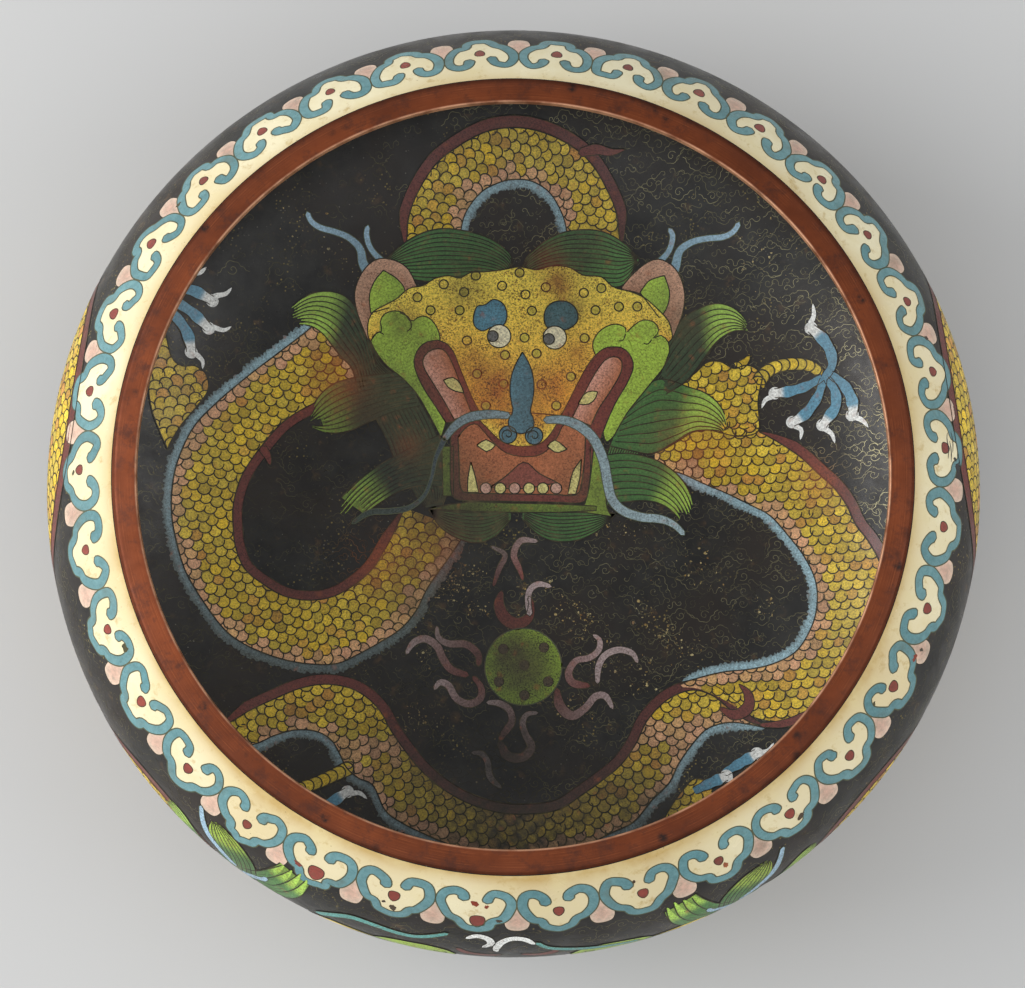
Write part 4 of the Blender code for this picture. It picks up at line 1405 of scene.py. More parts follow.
def build_border(cream, heads, lines):
    """The cream ground, 34 heads drawn with a turquoise ribbon that curls in at both ends, a red
    spot in each, and a rose drop between neighbours. Each head is a little different, as bent
    wire is."""
    rng = np.random.default_rng(7)
    u = np.linspace(-HALF_WAY_ROUND, HALF_WAY_ROUND, HEAD_COUNT * HEAD_STEPS + 1)
    local = (u - FIRST_HEAD + HEAD_PITCH / 2) % HEAD_PITCH - HEAD_PITCH / 2
    v = 0.05 + np.linspace(0, 1, GROUND_ROWS)[:, None] * border_edge(local)[None]
    front = 0.5 + 0.5 * np.cos(u / SPREAD_RADIUS)
    stain = np.exp(-v / 3.4) * (0.5 + 0.5 * front) + 0.3 * front - 0.04
    stain = stain + 0.12 * np.sin(u / 17) + 0.08 * np.sin(u / 7 + 1)
    points = hand_spaced(np.stack([np.broadcast_to(u, v.shape), v], -1))
    cream.grid(points, BAND_LIFT - 0.02, mix(CREAM, CREAM_STAINED, stain.clip(0, 1)))
    for number in range(HEAD_COUNT):
        middle = FIRST_HEAD + number * HEAD_PITCH
        half = np.array(HALF_HEAD)
        left = half + rng.normal(0, 0.22, half.shape)
        right = half * [-1, 1] + rng.normal(0, 0.22, half.shape)
        left[:3] += rng.normal(0, 0.35, 2)
        right[:3] += rng.normal(0, 0.35, 2)
        left[5, 0], right[5, 0] = HALF_HEAD[5][0], -HALF_HEAD[5][0]
        left[-1] = right[-1] = (rng.normal(0, 0.3), 24.2 + rng.normal(0, 0.3))
        path = hand_spaced(smooth(loop(left, right[:-1]) + [middle, 0], 0.7))
        share = shares(path)
        bulb = np.exp(-((share / 0.05) ** 2)) + np.exp(-(((1 - share) / 0.05) ** 2))
        width = RIBBON + 0.5 * bulb + 0.25 * np.sin(share * 9 + number)
        shade = rng.uniform(0.9, 1.08)
        colour = mix(TURQUOISE, TURQUOISE_DEEP, rng.uniform(0, 0.5)) * shade
        edges = heads.stroke(path, width, BAND_LIFT + 0.03, colour, TURQUOISE * shade)
        lines.wire(loop(*edges), BAND_LIFT + 0.05, WIRE_OLIVE, closed=True)
        sunk, swell = SUNK_SPOTS.get(number, (0.0, 1.0))
        spot = np.array([middle + rng.normal(0, 0.5), 15.4 + sunk + rng.normal(0, 0.4)])
        spot = hand_spaced(spot)
        drop = np.array(RED_DROP) * swell * rng.uniform(0.78, 0.95) + spot
        drop = smooth(drop, 0.7, closed=True)[:-1]
        red = DOT_RED * rng.uniform(0.85, 1.2)
        cell(heads, lines, drop, spot, BAND_LIFT + 0.01, red, rings=2, over=0.02, width=FINE_WIRE)
        low = 24.4 + rng.normal(0, 0.4)
        half = np.array([(0, 13), (1.6, 16), (3.2, 18.2), (3.7, 20.8), (2.6, low - 0.8), (0, low)])
        rose = loop(half, (half * [-1, 1])[1:-1]) + [middle + HEAD_PITCH / 2, 0]
        rose = hand_spaced(smooth(rose, 0.9, closed=True)[:-1])
        pale = ROSE * rng.uniform(0.85, 1.1)
        cell(heads, lines, rose, rose.mean(0), BAND_LIFT, pale, ROSE_PALE, over=0.012, width=FINE_WIRE)
    for number, (u, v, radius, colour) in enumerate(CHIPS):
        edge = around((u, v), radius, 12, 0.7, number * 1.3) + rng.normal(0, radius * 0.16, (12, 2))
        heads.blob(edge, (u, v), BAND_LIFT + 0.06, colour, rings=1)
    for scratch in SCRATCHES:
        heads.stroke(scratch, [0.2, 0.5, 0.5, 0.2], BAND_LIFT + 0.065, BLACK, rounded=False, step=0.5)


# Dragons on the outside, given for the right one. The left one is its mirror image.
OUTSIDE_BODY = [
    (54, 58), (60, 76), (74, 90), (90, 84), (98, 67), (109, 55), (123, 57), (134, 73), (146, 88),
    (161, 91), (173, 79), (184, 67), (196, 58), (208, 47), (224, 41), (244, 45), (260, 59), (274, 78),
    (292, 92), (314, 94), (334, 84), (350, 69), (366, 60), (384, 62), (398, 72),
]
OUTSIDE_WIDTH = [
    18, 22, 25, 27, 27, 27, 27, 28, 29, 29, 30, 30, 31, 31, 32, 31, 30, 29, 27, 24, 21, 17, 12, 8, 2,
]
OUTSIDE_LEGS = [
    ([(80, 98), (82, 110), (92, 119), (104, 120)], [11, 8, 6, 5]),
    ([(150, 98), (150, 110), (160, 119), (172, 119)], [11, 8, 6, 5]),
    ([(262, 66), (276, 56), (288, 60), (294, 70)], [11, 8, 6, 5]),
    ([(312, 98), (316, 110), (328, 116), (338, 114)], [11, 8, 6, 5]),
]
OUTSIDE_TUFTS = [
    ([(56, 48), (49.5, 46), (45.5, 37), (44.4, 30), (44.2, 25)],
        [(64, 43), (60, 37.5), (57.5, 32), (55.5, 27), (54, 22.4)], HAIR_GREEN, HAIR_LIGHT * 1.1, 4,
        0.16),
    ([(60, 50), (59.6, 42), (61.6, 35), (68, 29.6), (76.6, 27.4)],
        [(70, 52), (72.9, 44), (76.6, 38), (78.4, 32.8), (78.6, 28.4)], HAIR_GREEN * 0.9,
        CHEEK_GREEN * 0.75, 8, 0.05),
    ([(70, 58), (76, 51), (81, 44.6), (86.5, 39.6), (93, 38.6)],
        [(74, 66), (82, 60), (87, 53), (90.4, 46.6), (94, 42)], HAIR_GREEN, HAIR_LIGHT, 5, 0.05),
    ([(50, 62), (55, 72), (55, 82), (50, 92)], [(38, 66), (41, 76), (41, 84), (38, 91)], HAIR_GREEN,
        HAIR_LIGHT, 6, 0.14),
    ([(36, 68), (38, 76), (36, 84), (32, 91)], [(22, 66), (22, 74), (22, 82), (22, 89)], HAIR_GREEN,
        HAIR_LIGHT, 6, 0.14),
]
# The left dragon's mane is set farther back and a little higher than the right one's.
LEFT_MANE_SHIFT = (-17.0, -2.5)
OUTSIDE_HORNS = [
    [(66, 47), (72, 42), (77, 38), (80.5, 33), (83.7, 26.4)], [(64, 50), (60, 44), (57.4, 41),
    (56.6, 37.5)],
]
OUTSIDE_AREAS = [
    (FACE_LIFT, OCHRE, OCHRE_DEEP,
        [(26, 49), (32, 47), (40, 46), (48, 45), (54, 45.4), (60, 53), (56, 63)],
        [(24, 56), (30, 56), (36, 58), (42, 62), (48, 66), (53, 66), (56, 63)]),
    (FACE_LIFT + 0.02, CHEEK_GREEN, CHEEK_DEEP,
        [(16, 46), (19, 41.4), (25, 39.6), (32, 40.6), (37, 42.6), (40, 46)],
        [(16, 46), (17.5, 51), (21, 54.5), (28, 54), (35, 50), (40, 46)]),
    (FACE_LIFT + 0.02, MAROON_WARM, MAROON_WARM, [(18, 54), (26, 55), (34, 58), (42, 62), (47, 66)],
        [(18, 54), (22, 60), (30, 64.5), (39, 66.5), (47, 66)]),
    (FACE_LIFT + 0.03, MOUTH_ROSE, GUM_ROSE, [(21, 56), (27, 57), (34, 59.6), (40, 63)],
        [(21, 56), (25, 60), (31, 63), (40, 63.5)]),
    (FACE_LIFT + 0.02, CHEEK_GREEN, CHEEK_DEEP, [(17, 59), (24, 64.5), (32, 67), (42, 68), (49, 66)],
        [(17, 59), (20, 66), (28, 71), (38, 72.5), (49, 66)]),
    (FACE_LIFT + 0.03, CHEEK_GREEN, CHEEK_DEEP, [(47, 54), (51, 51), (55, 54), (55, 60)],
        [(47, 54), (46, 58), (49, 61), (55, 60)]),
]
OUTSIDE_FLAMES = [
    ([(-13.8, 30.2), (-10.5, 28), (-7.2, 29.4), (-6.4, 32.6), (-9, 35.6)], [1.8, 3.2, 3.4, 3.2, 1.8],
        NAIL_WHITE, NAIL_WHITE),
    ([(6.4, 33), (3.4, 29.4), (-0.4, 28.8), (-3.4, 31.4), (-4.8, 36), (-4.6, 39)],
        [1.8, 3.2, 3.4, 3.4, 3.2, 1.8], NAIL_WHITE, NAIL_WHITE),
    ([(-16, 38), (-13, 42), (-8, 43.5), (-3, 42)], [2, 4, 4, 2], MAROON_WARM, FLAME_RED),
    ([(2, 41), (7, 42.5), (11, 40.5), (13, 37)], [2, 4, 4, 2], MAROON_WARM, FLAME_RED),
    ([(-24, 52), (-20, 56), (-16, 56), (-13, 53)], [1.6, 3, 3, 2], NAIL_WHITE, FLAME_RED),
    ([(-13, 68), (-17, 72), (-16, 78), (-10, 80)], [2, 3.2, 3, 1.6], FLAME_RED, NAIL_WHITE),
    ([(6, 70), (11, 74), (10, 80), (4, 83)], [2, 3.2, 3, 1.6], FLAME_RED, NAIL_WHITE),
    ([(-4, 74), (-7, 80), (-3, 86), (-6, 93)], [2.4, 3.4, 3, 1.6], FLAME_RED, NAIL_WHITE),
]
OUTSIDE_PEARL = (-3.0, 61.0)
# The two wires round the lower end of the wall.
FOOT_LINES = (132.0, 134.6)
OUTSIDE_BROW = [(34, 49.4), (38, 47.4), (44, 47), (48.4, 49.4), (46, 52), (41, 50.6)]
# The right dragon's whisker and the left one's, which is longer.
OUTSIDE_WHISKERS = {
    1: [(36, 45), (28, 42.6), (18.8, 39.7), (10.4, 36), (6.5, 31.2)],
    -1: [(-57, 43), (-53, 38.3), (-47.4, 33.8), (-41.3, 33.4), (-32.4, 34.4), (-26.6, 33.3), (-18.5, 28)],
}


def flow_along(path, step):
    """Anchors of a flow that runs along a path: every few points, with the direction there."""
    heading = directions(path)
    return np.c_[path, np.degrees(np.arctan2(heading[:, 1], heading[:, 0]))][::step]


def build_outside_leg(discs, wires, areas, lines, leg, width, seed):
    """A leg with scales and a foot of five blue toes with pale bent nails."""
    edges = ribbon(leg, spread(width, leg))[::-2]
    areas.between(*edges, UNDER_SCALE_LIFT + 0.012, SCALE_OLIVE * 0.7, curved=False)
    outline = loop(*edges)
    lay_scales(discs, wires, outline, flow_along(leg, 4), None, seed, spacing=OUTSIDE_SPACING)
    lines.wire(outline, LINE_LIFT + 0.012, closed=True)
    heading, ankle = directions(leg)[-1], leg[-1]
    for turn in (-75, -38, 0, 38, 75):
        toward = rotated(*heading, math.radians(turn))
        bend = np.array([-toward[1], toward[0]]) * 1.5
        root = ankle + toward * 7
        toe = [ankle, ankle + toward * 3.5 + bend, root]
        nail = [root, root + toward * 3 - bend * 0.6, root + toward * 6 - bend * 2]
        areas.stroke(toe, [3.5, 4, 3], HAIR_LIFT, CLAW_BLUE)
        areas.stroke(nail, [3.4, 2.4, 0.5], HAIR_LIFT + 0.02, NAIL_WHITE)


def build_outside_head(areas, lines, turned, side):
    """The head in profile: its areas, eye, brow, teeth, curl and long whisker."""
    for lift, colour, other, first, second in OUTSIDE_AREAS:
        edge = areas.between(turned(first), turned(second), lift, colour, other, step=1.8)
        lines.wire(edge, lift + 0.02, closed=True)
    for middle, radius, colour in (((40, 53.5), 3.8, EYE_WHITE), ((39, 53.8), 1.8, PUPIL_GREY)):
        middle = (side * middle[0], middle[1])
        ring = around(middle, radius, 22)
        areas.blob(ring, middle, DETAIL_LIFT + 0.01 * (5 - radius), colour, rings=2)
        lines.wire(ring, DETAIL_LIFT + 0.05, closed=True)
    brow = smooth(turned(OUTSIDE_BROW), 1.0, closed=True)[:-1]
    cell(areas, lines, brow, brow.mean(0), DETAIL_LIFT, BROW_BLUE, BROW_DEEP, over=0.02)
    for tooth in turned([(24, 62), (28.5, 63.6), (33, 65), (24, 57.5), (30, 59.5)]):
        cell(areas, lines, around(tooth, 1.5, 12), tooth, DETAIL_LIFT, TOOTH, rings=1, width=FINE_WIRE)
    lines.wire(spiral((side * 21, 46), 2.6, 1.3 * side, 40), FACE_LIFT + 0.05)
    teal = WHISKER_GREY * [0.42, 0.95, 0.8]
    edged(areas, lines, OUTSIDE_WHISKERS[side], [2.6, 2.6, 2.4, 1.6], DETAIL_LIFT, teal)


def build_outside(discs, wires, areas, lines):
    """Two dragons in profile that face a flaming pearl at the front. Their bodies run round the
    sides to the back."""
    for side in (1, -1):

        def turned(points, side=side):
            return [(side * x, y) for x, y in points]

        path = smooth(turned(OUTSIDE_BODY), 1.6)
        upper, lower = ribbon(path, spread(OUTSIDE_WIDTH, path))[:: 2 * side]
        outline = loop(upper, lower)
        areas.between(upper, lower, UNDER_SCALE_LIFT, SCALE_OLIVE * 0.6, curved=False)
        flow = flow_along(path, 5)
        lay_scales(discs, wires, outline, flow, lower, 120 + side, spacing=OUTSIDE_SPACING)
        far = plain_band(areas, upper, outline, 4.2, MAROON_WARM, MAROON)
        serrated_fin(areas, lower, outline, 3.2, 130 + side)
        for edge in (upper, lower, far):
            lines.wire(edge, LINE_LIFT)
        for number, (leg, width) in enumerate(OUTSIDE_LEGS):
            leg = smooth(turned(leg), 1.2)
            build_outside_leg(discs, wires, areas, lines, leg, width, 140 + number)
        mane_shift = np.array(LEFT_MANE_SHIFT if side < 0 else (0.0, 0.0))
        for number, (first, second, *look) in enumerate(OUTSIDE_TUFTS):
            moved = mane_shift if number < 3 else (0, 0)
            edges = [np.array(turned(edge)) + moved for edge in (first, second)]
            build_tuft(areas, lines, *edges, *look, HAIR_LIFT + 0.004 * number, 30 + number)
        for horn in OUTSIDE_HORNS:
            horn = np.array(turned(horn)) + mane_shift
            edged(areas, lines, horn, [3.4, 2.8, 2.4, 1.6], HAIR_LIFT + 0.04, ANTLER_BLUE)
        build_outside_head(areas, lines, turned, side)
    build_flames(areas, lines, OUTSIDE_FLAMES)
    dots = around(OUTSIDE_PEARL, 5.5, 5, turn=math.radians(20))
    build_pearl(areas, lines, OUTSIDE_PEARL, 10.0, [*dots, OUTSIDE_PEARL])
    for v in FOOT_LINES:
        ring = np.stack([np.linspace(-HALF_WAY_ROUND, HALF_WAY_ROUND, 361), np.full(361, v)], 1)
        lines.wire(ring, LINE_LIFT, WIRE_PALE)


# Materials


def add_node(tree, kind, settings=None, **links):
    """Adds a node to a material: settings are its own properties or the values of its sockets by
    name or number, and links join its sockets to other nodes' outputs."""
    node = tree.nodes.new(kind)
    for key, value in (settings or {}).items():
        if isinstance(key, str) and hasattr(node, key):
            setattr(node, key, value)
        else:
            node.inputs[key].default_value = value
    for key, source in links.items():
        name = key.replace("_", " ")
        socket = next((s for s in node.inputs if s.name == name and s.enabled), None)
        tree.links.new(source, socket or node.inputs[int(key[2:])])
    return node


def blend_colours(tree, share, first, second, how="MIX"):
    """Blends two colours; each is a socket or a linear colour."""
    node = tree.nodes.new("ShaderNodeMix")
    node.data_type = "RGBA"
    node.blend_type = how
    for number, value in ((0, share), (6, first), (7, second)):
        if isinstance(value, bpy.types.NodeSocket):
            tree.links.new(value, node.inputs[number])
        elif number:
            node.inputs[number].default_value = (*value, 1.0)
        else:
            node.inputs[number].default_value = value
    return node.outputs[2]


def moved(tree, shift):
    """Object coordinates moved by a shift, so that no layer repeats another."""
    place = add_node(tree, "ShaderNodeTexCoord").outputs["Object"]
    return add_node(tree, "ShaderNodeMapping", {"Location": shift}, Vector=place).outputs[0]


def noise(tree, size_mm, detail=3.0, roughness=0.55, shift=0.0):
    """Noise on Object coordinates whose blotches are about the given size across."""
    settings = {"Scale": 1.0 / (size_mm * MM), "Detail": detail, "Roughness": roughness}
    place = moved(tree, (shift, shift * 0.7, -shift))
    return add_node(tree, "ShaderNodeTexNoise", settings, Vector=place).outputs[0]


def spots(tree, size_mm, threshold, soft, shift=0.0):
    """Small round pits: one where the distance to the nearest cell middle is below a threshold."""
    place = moved(tree, (shift, -shift, shift))
    cells = add_node(tree, "ShaderNodeTexVoronoi", {"Scale": 1.0 / (size_mm * MM)}, Vector=place)
    return value_range(tree, cells.outputs["Distance"], threshold, threshold + soft, 1.0, 0.0)


def value_range(tree, source, low, high, to_low, to_high):
    """Maps a value from one range to another and holds it there."""
    settings = {"From Min": low, "From Max": high, "To Min": to_low, "To Max": to_high}
    return add_node(tree, "ShaderNodeMapRange", settings, in0=source).outputs["Result"]


def times(tree, first, second):
    """The product of two values."""
    return add_node(tree, "ShaderNodeMath", {"operation": "MULTIPLY"}, in0=first, in1=second).outputs[0]


def new_material(name):
    """An empty node material and its tree."""
    material = bpy.data.materials.new(name)
    material.use_nodes = True
    return material, material.node_tree


def fired(tree):
    """The node that reads a piece's own colours."""
    return add_node(tree, "ShaderNodeAttribute", {"attribute_name": "fired"})


def clouds(tree, look, low, high, least, most):
    """Soft patches: noise of the given look (size in millimetres, detail, roughness, shift),
    mapped from its range to a range of shares."""
    return value_range(tree, noise(tree, *look), low, high, least, most)


def pits(tree, look, where, low, high, least, most):
    """Round spots of the given look (cell size in millimetres, threshold, softness, shift),
    fewer where clouds are low."""
    return times(tree, spots(tree, *look), clouds(tree, where, low, high, least, most))


def layered(tree, colour, *layers):
    """Blends layers over a colour, each a share, an sRGB hex colour and a blend type if it isn't
    a plain mix."""
    for share, over, *how in layers:
        colour = blend_colours(tree, share, colour, linear(over), *how)
    return colour


def shaded(material, colour, values, rough=None, bump=None):
    """Joins a colour, clouds of roughness and a bump (look, strength, distance in millimetres)
    to the material's Principled shader and sets its other values."""
    tree = material.node_tree
    shader = tree.nodes["Principled BSDF"]
    tree.links.new(colour, shader.inputs["Base Color"])
    for name, value in values.items():
        shader.inputs[name].default_value = value
    if rough:
        tree.links.new(clouds(tree, *rough), shader.inputs["Roughness"])
    if bump:
        look, strength, distance = bump
        settings = {"Strength": strength, "Distance": distance * MM}
        relief = add_node(tree, "ShaderNodeBump", settings, Height=noise(tree, *look))
        tree.links.new(relief.outputs["Normal"], shader.inputs["Normal"])
    return material


def black_ground_enamel():
    """Opaque black lead glass, fired and stoned flush: soft gloss, grey haze from use, brown film and rust
    in places, and pale and yellow specks where the ground is pitted, partly polish in the pits and partly
    painted glints."""
    material, tree = new_material("black_ground_enamel")
    colour = layered(
        tree,
        linear("1E1C1A"),
        (clouds(tree, (11, 5, 0.65), 0.4, 0.66, 0.0, 1.0), "302E2A"),
        (clouds(tree, (45, 4, 0.6, 0.31), 0.45, 0.62, 0.0, 0.8), "2E2620"),
        (pits(tree, (8.0, 0.05, 0.3, 0.2), (3, 3), 0.5, 0.62, 0.0, 0.8), "54402A"),
        # Yellow and pale specks: partly polish in pits, partly painted glints of the pitted ground.
        (pits(tree, (1.6, 0.12, 0.12, 0.6), (16, 3, 0.5, 0.8), 0.52, 0.66, 0.0, 0.9), "8C7A42"),
        (pits(tree, (2.1, 0.05, 0.08), (20, 2, 0.5, 0.5), 0.45, 0.7, 0.1, 0.8), "8C8678"),
    )
    values = {"IOR": 1.45, "Specular IOR Level": 0.36}
    rough = ((12, 5, 0.65, 0.1), 0.3, 0.7, 0.24, 0.48)
    return shaded(material, colour, values, rough, ((0.9, 4, 0.7), 0.45, 0.06))


def coloured_cell_enamel():
    """Opaque coloured glass in the wire cells, stoned flush: each cell has its own fired colour,
    with dark grains of unmelted frit, most of them in the face, warm blotches and a brown film
    of use. The attribute's alpha says how grainy the glass is."""
    material, tree = new_material("coloured_cell_enamel")
    own = fired(tree)
    grain = clouds(tree, (0.8, 4, 0.75), 0.3, 0.7, 0.58, 1.42)
    lifted = add_node(
        tree, "ShaderNodeVectorMath", {"operation": "SCALE"}, in0=own.outputs["Color"], in3=grain
    )
    dense = clouds(tree, (9, 3, 0.6, 0.2), 0.35, 0.65, 0.5, 1.0)
    frit = times(tree, clouds(tree, (0.55, 3, 0.7, 0.4), 0.52, 0.57, 0.0, 0.95), dense)
    colour = layered(
        tree,
        lifted.outputs[0],
        (times(tree, frit, own.outputs["Alpha"]), "5E3614", "MULTIPLY"),
        (pits(tree, (1.5, 0.12, 0.08, 0.1), (6, 3), 0.45, 0.65, 0.0, 0.7), "3A2C1A"),
        (pits(tree, (4.5, 0.06, 0.3, 0.9), (2, 3), 0.45, 0.65, 0.0, 0.5), "A8562A"),
        (clouds(tree, (30, 4, 0.65, 0.31), 0.48, 0.7, 0.0, 0.22), "4A3A22"),
    )
    rough = ((10, 3), 0.3, 0.7, 0.3, 0.48)
    return shaded(material, colour, {"IOR": 1.45}, rough, ((0.7, 3), 0.3, 0.05))


def cream_ground_enamel():
    """Opaque ivory glass of the shoulder, thicker and glossier than the inside: faint yellow
    clouds, brown stains and dark specks over its own fired colour."""
    material, tree = new_material("cream_ground_enamel")
    colour = layered(
        tree,
        fired(tree).outputs["Color"],
        (clouds(tree, (9, 4, 0.6), 0.42, 0.7, 0.0, 0.6), "DCCB98"),
        (clouds(tree, (5, 4, 0.7, 0.6), 0.57, 0.74, 0.0, 0.75), "B89A5C"),
        (pits(tree, (3.0, 0.05, 0.06, 0.3), (12, 3), 0.5, 0.7, 0.0, 0.8), "6B5236"),
    )
    rough = ((12, 3), 0.3, 0.7, 0.16, 0.3)
    return shaded(material, colour, {"IOR": 1.55}, rough, ((3, 2), 0.15, 0.06))


def border_cell_enamel():
    """Opaque turquoise, rose and red glass of the border, glossier than the inside, with dark
    grains and small cloudy patches."""
    material, tree = new_material("border_cell_enamel")
    colour = layered(
        tree,
        fired(tree).outputs["Color"],
        (clouds(tree, (2.0, 4, 0.7), 0.35, 0.7, 0.0, 0.45), "6E9A9C", "MULTIPLY"),
        (pits(tree, (1.1, 0.10, 0.1), (9, 3), 0.42, 0.7, 0.0, 0.7), "3A4A48"),
        (clouds(tree, (12, 4, 0.65, 0.7), 0.55, 0.75, 0.0, 0.45), "5C5A44"),
    )
    rough = ((8, 3), 0.3, 0.7, 0.2, 0.36)
    return shaded(material, colour, {"IOR": 1.5}, rough, ((1.5, 3), 0.25, 0.06))


def cloison_wire():
    """Flat copper wire of the cells, dark with age and rubbed bright in places: dull olive-brown
    metal beside the glass."""
    material, tree = new_material("cloison_wire")
    worn = clouds(tree, (4, 3), 0.45, 0.7, 0.0, 0.35)
    colour = layered(tree, fired(tree).outputs["Color"], (worn, "7A6A44"))
    return shaded(material, colour, {"Metallic": 0.3, "Roughness": 0.5})


def scroll_wire():
    """Hair-thin copper wire of the ground scrolls: polished metal that is dark where the bowl
    reflects the dim ceiling and glints on the walls."""
    material, tree = new_material("scroll_wire")
    sunk = clouds(tree, (9, 4, 0.7, 0.4), 0.42, 0.62, 0.0, 0.85)
    colour = layered(tree, fired(tree).outputs["Color"], (sunk, "2C2A26"))
    return shaded(material, colour, {"Metallic": 0.8, "Roughness": 0.36})


def aged_bare_copper():
    """Bare copper, turned and rubbed, then darkened by air and hands: matt red-brown, darker towards the
    enamel, with blackish stains and fine rubbed lines along the ring, and a pale painted highlight along
    its inner edge."""
    material, tree = new_material("aged_bare_copper")
    place = add_node(tree, "ShaderNodeTexCoord").outputs["Object"]
    flat = add_node(tree, "ShaderNodeVectorMath", {"operation": "MULTIPLY", 1: (1, 1, 0)}, in0=place)
    length = add_node(tree, "ShaderNodeVectorMath", {"operation": "LENGTH"}, in0=flat.outputs[0])
    radius = length.outputs["Value"]
    settings = {"noise_dimensions": "1D", "Scale": 2600.0, "Detail": 3.0}
    turned = add_node(tree, "ShaderNodeTexNoise", settings, in1=radius).outputs[0]
    rubbed = value_range(tree, turned, 0.52, 0.7, 0.0, 0.6)
    # Painted highlight: pale copper at the mouth ring's inner edge and on every part nearer the axis, so
    # the whole foot ring gets it as well.
    edge = value_range(tree, radius, (MOUTH_RADIUS + 0.15) * MM, (MOUTH_RADIUS + 0.7) * MM, 0.8, 0.0)
    colour = layered(
        tree,
        linear("62301A"),
        (clouds(tree, (22, 5, 0.65), 0.36, 0.66, 0.0, 1.0), "783C20"),
        (value_range(tree, radius, (MOUTH_RADIUS + 3) * MM, JOINT_RADIUS * MM, 0.0, 0.55), "5E3222"),
        (times(tree, rubbed, clouds(tree, (6, 3), 0.4, 0.65, 0.0, 1.0)), "A05A34"),
        (clouds(tree, (7, 5, 0.75, 0.4), 0.5, 0.68, 0.0, 0.8), "4A2A20"),
        (pits(tree, (9, 0.1, 0.14, 0.7), (2.5, 4), 0.42, 0.6, 0.2, 0.95), "2A1F1C"),
        # The painted highlight of the inner edge.
        (times(tree, edge, clouds(tree, (8, 3), 0.35, 0.6, 0.2, 1.0)), "E2AC88"),
    )
    values = {"Metallic": 0.6, "Specular IOR Level": 0.25}
    rough = ((9, 4, 0.6, 0.2), 0.3, 0.7, 0.46, 0.66)
    return shaded(material, colour, values, rough, ((1.0, 4, 0.7), 0.35, 0.06))


def matte_paper():
    """The plain pale ground that the bowl stands on."""
    material, tree = new_material("pale_matte_paper")
    colour = layered(tree, linear("BAB9B8"), (noise(tree, 220, 2), "BFBEBC"))
    return shaded(material, colour, {"Roughness": 0.9})


MATERIALS = {}


def finish_of(make):
    """The material that a function makes, made once."""
    if make.__name__ not in MATERIALS:
        MATERIALS[make.__name__] = make()
    return MATERIALS[make.__name__]


# Settings, operators and panel


class BowlStage(bpy.types.PropertyGroup):
    """What a user would change about the view and the light."""

    camera_tilt: FloatProperty(
        name="Camera tilt",
        description="How far the camera leans to the front from straight above",
        default=math.radians(6.8),
        subtype="ANGLE",
    )
    camera_turn: FloatProperty(
        name="Camera turn",
        description="How far the camera leans to the right",
        default=math.radians(0.2),
        subtype="ANGLE",
    )
    camera_distance: FloatProperty(
        name="Camera distance",
        description="From the mouth of the bowl to the camera",
        default=0.9,
        unit="LENGTH",
    )
    lens: FloatProperty(
        name="Focal length", description="Focal length of the camera in millimetres", default=102.8
    )
    floor_size: FloatProperty(
        name="Floor size", description="Side of the square floor", default=6.0, unit="LENGTH"
    )
    light_power: FloatProperty(
        name="Light", description="Multiplies the power of every light", default=1.0, min=0.0
    )


class BowlLook(bpy.types.PropertyGroup):
    """What a user would change about the enamel."""

    scroll_spacing: FloatProperty(
        name="Scroll spacing",
        description="Distance between the scroll wires of the ground",
        default=5.4 * MM,
        unit="LENGTH",
    )
    scroll_tint: FloatVectorProperty(
        name="Scroll wire colour",
        description="Linear colour of the scroll wires",
        default=tuple(WIRE_PALE),
        subtype="COLOR",
    )


class MakeBody(bpy.types.Operator):
    """Makes the enamelled body: one closed turned shell with the ground enamel on both faces"""

    bl_idname = "bowl.make_body"
    bl_label = "Enamelled body"

    def execute(self, context):
        steps = np.linspace(0, 1, PROFILE_STEPS)
        inner = read_profile(INNER, INNER_DOWN, steps * INNER_DOWN[-1])[:, :2]
        outer = read_profile(OUTER, OUTER_DOWN, steps * OUTER_DOWN[-1])[:, :2]
        inner[-1, 0] = outer[-1, 0] = 0.0
        profile = np.concatenate([outer[::-1], inner])
        enamel = finish_of(black_ground_enamel)
        turned_piece("enamelled_body", profile, False, enamel, "enamelled_copper", "bowl_body")
        return {"FINISHED"}


def rounded(before, corner, after, radius, count=6):
    """A corner replaced by the quadratic curve between the two points that lie the radius away
    from it on its sides."""
    before, corner, after = (np.asarray(p, dtype=float) for p in (before, corner, after))
    start = corner + (before - corner) * min(radius / np.linalg.norm(before - corner), 0.5)
    end = corner + (after - corner) * min(radius / np.linalg.norm(after - corner), 0.5)
    t = np.linspace(0, 1, count)[:, None]
    return (1 - t) ** 2 * start + 2 * t * (1 - t) * corner + t**2 * end


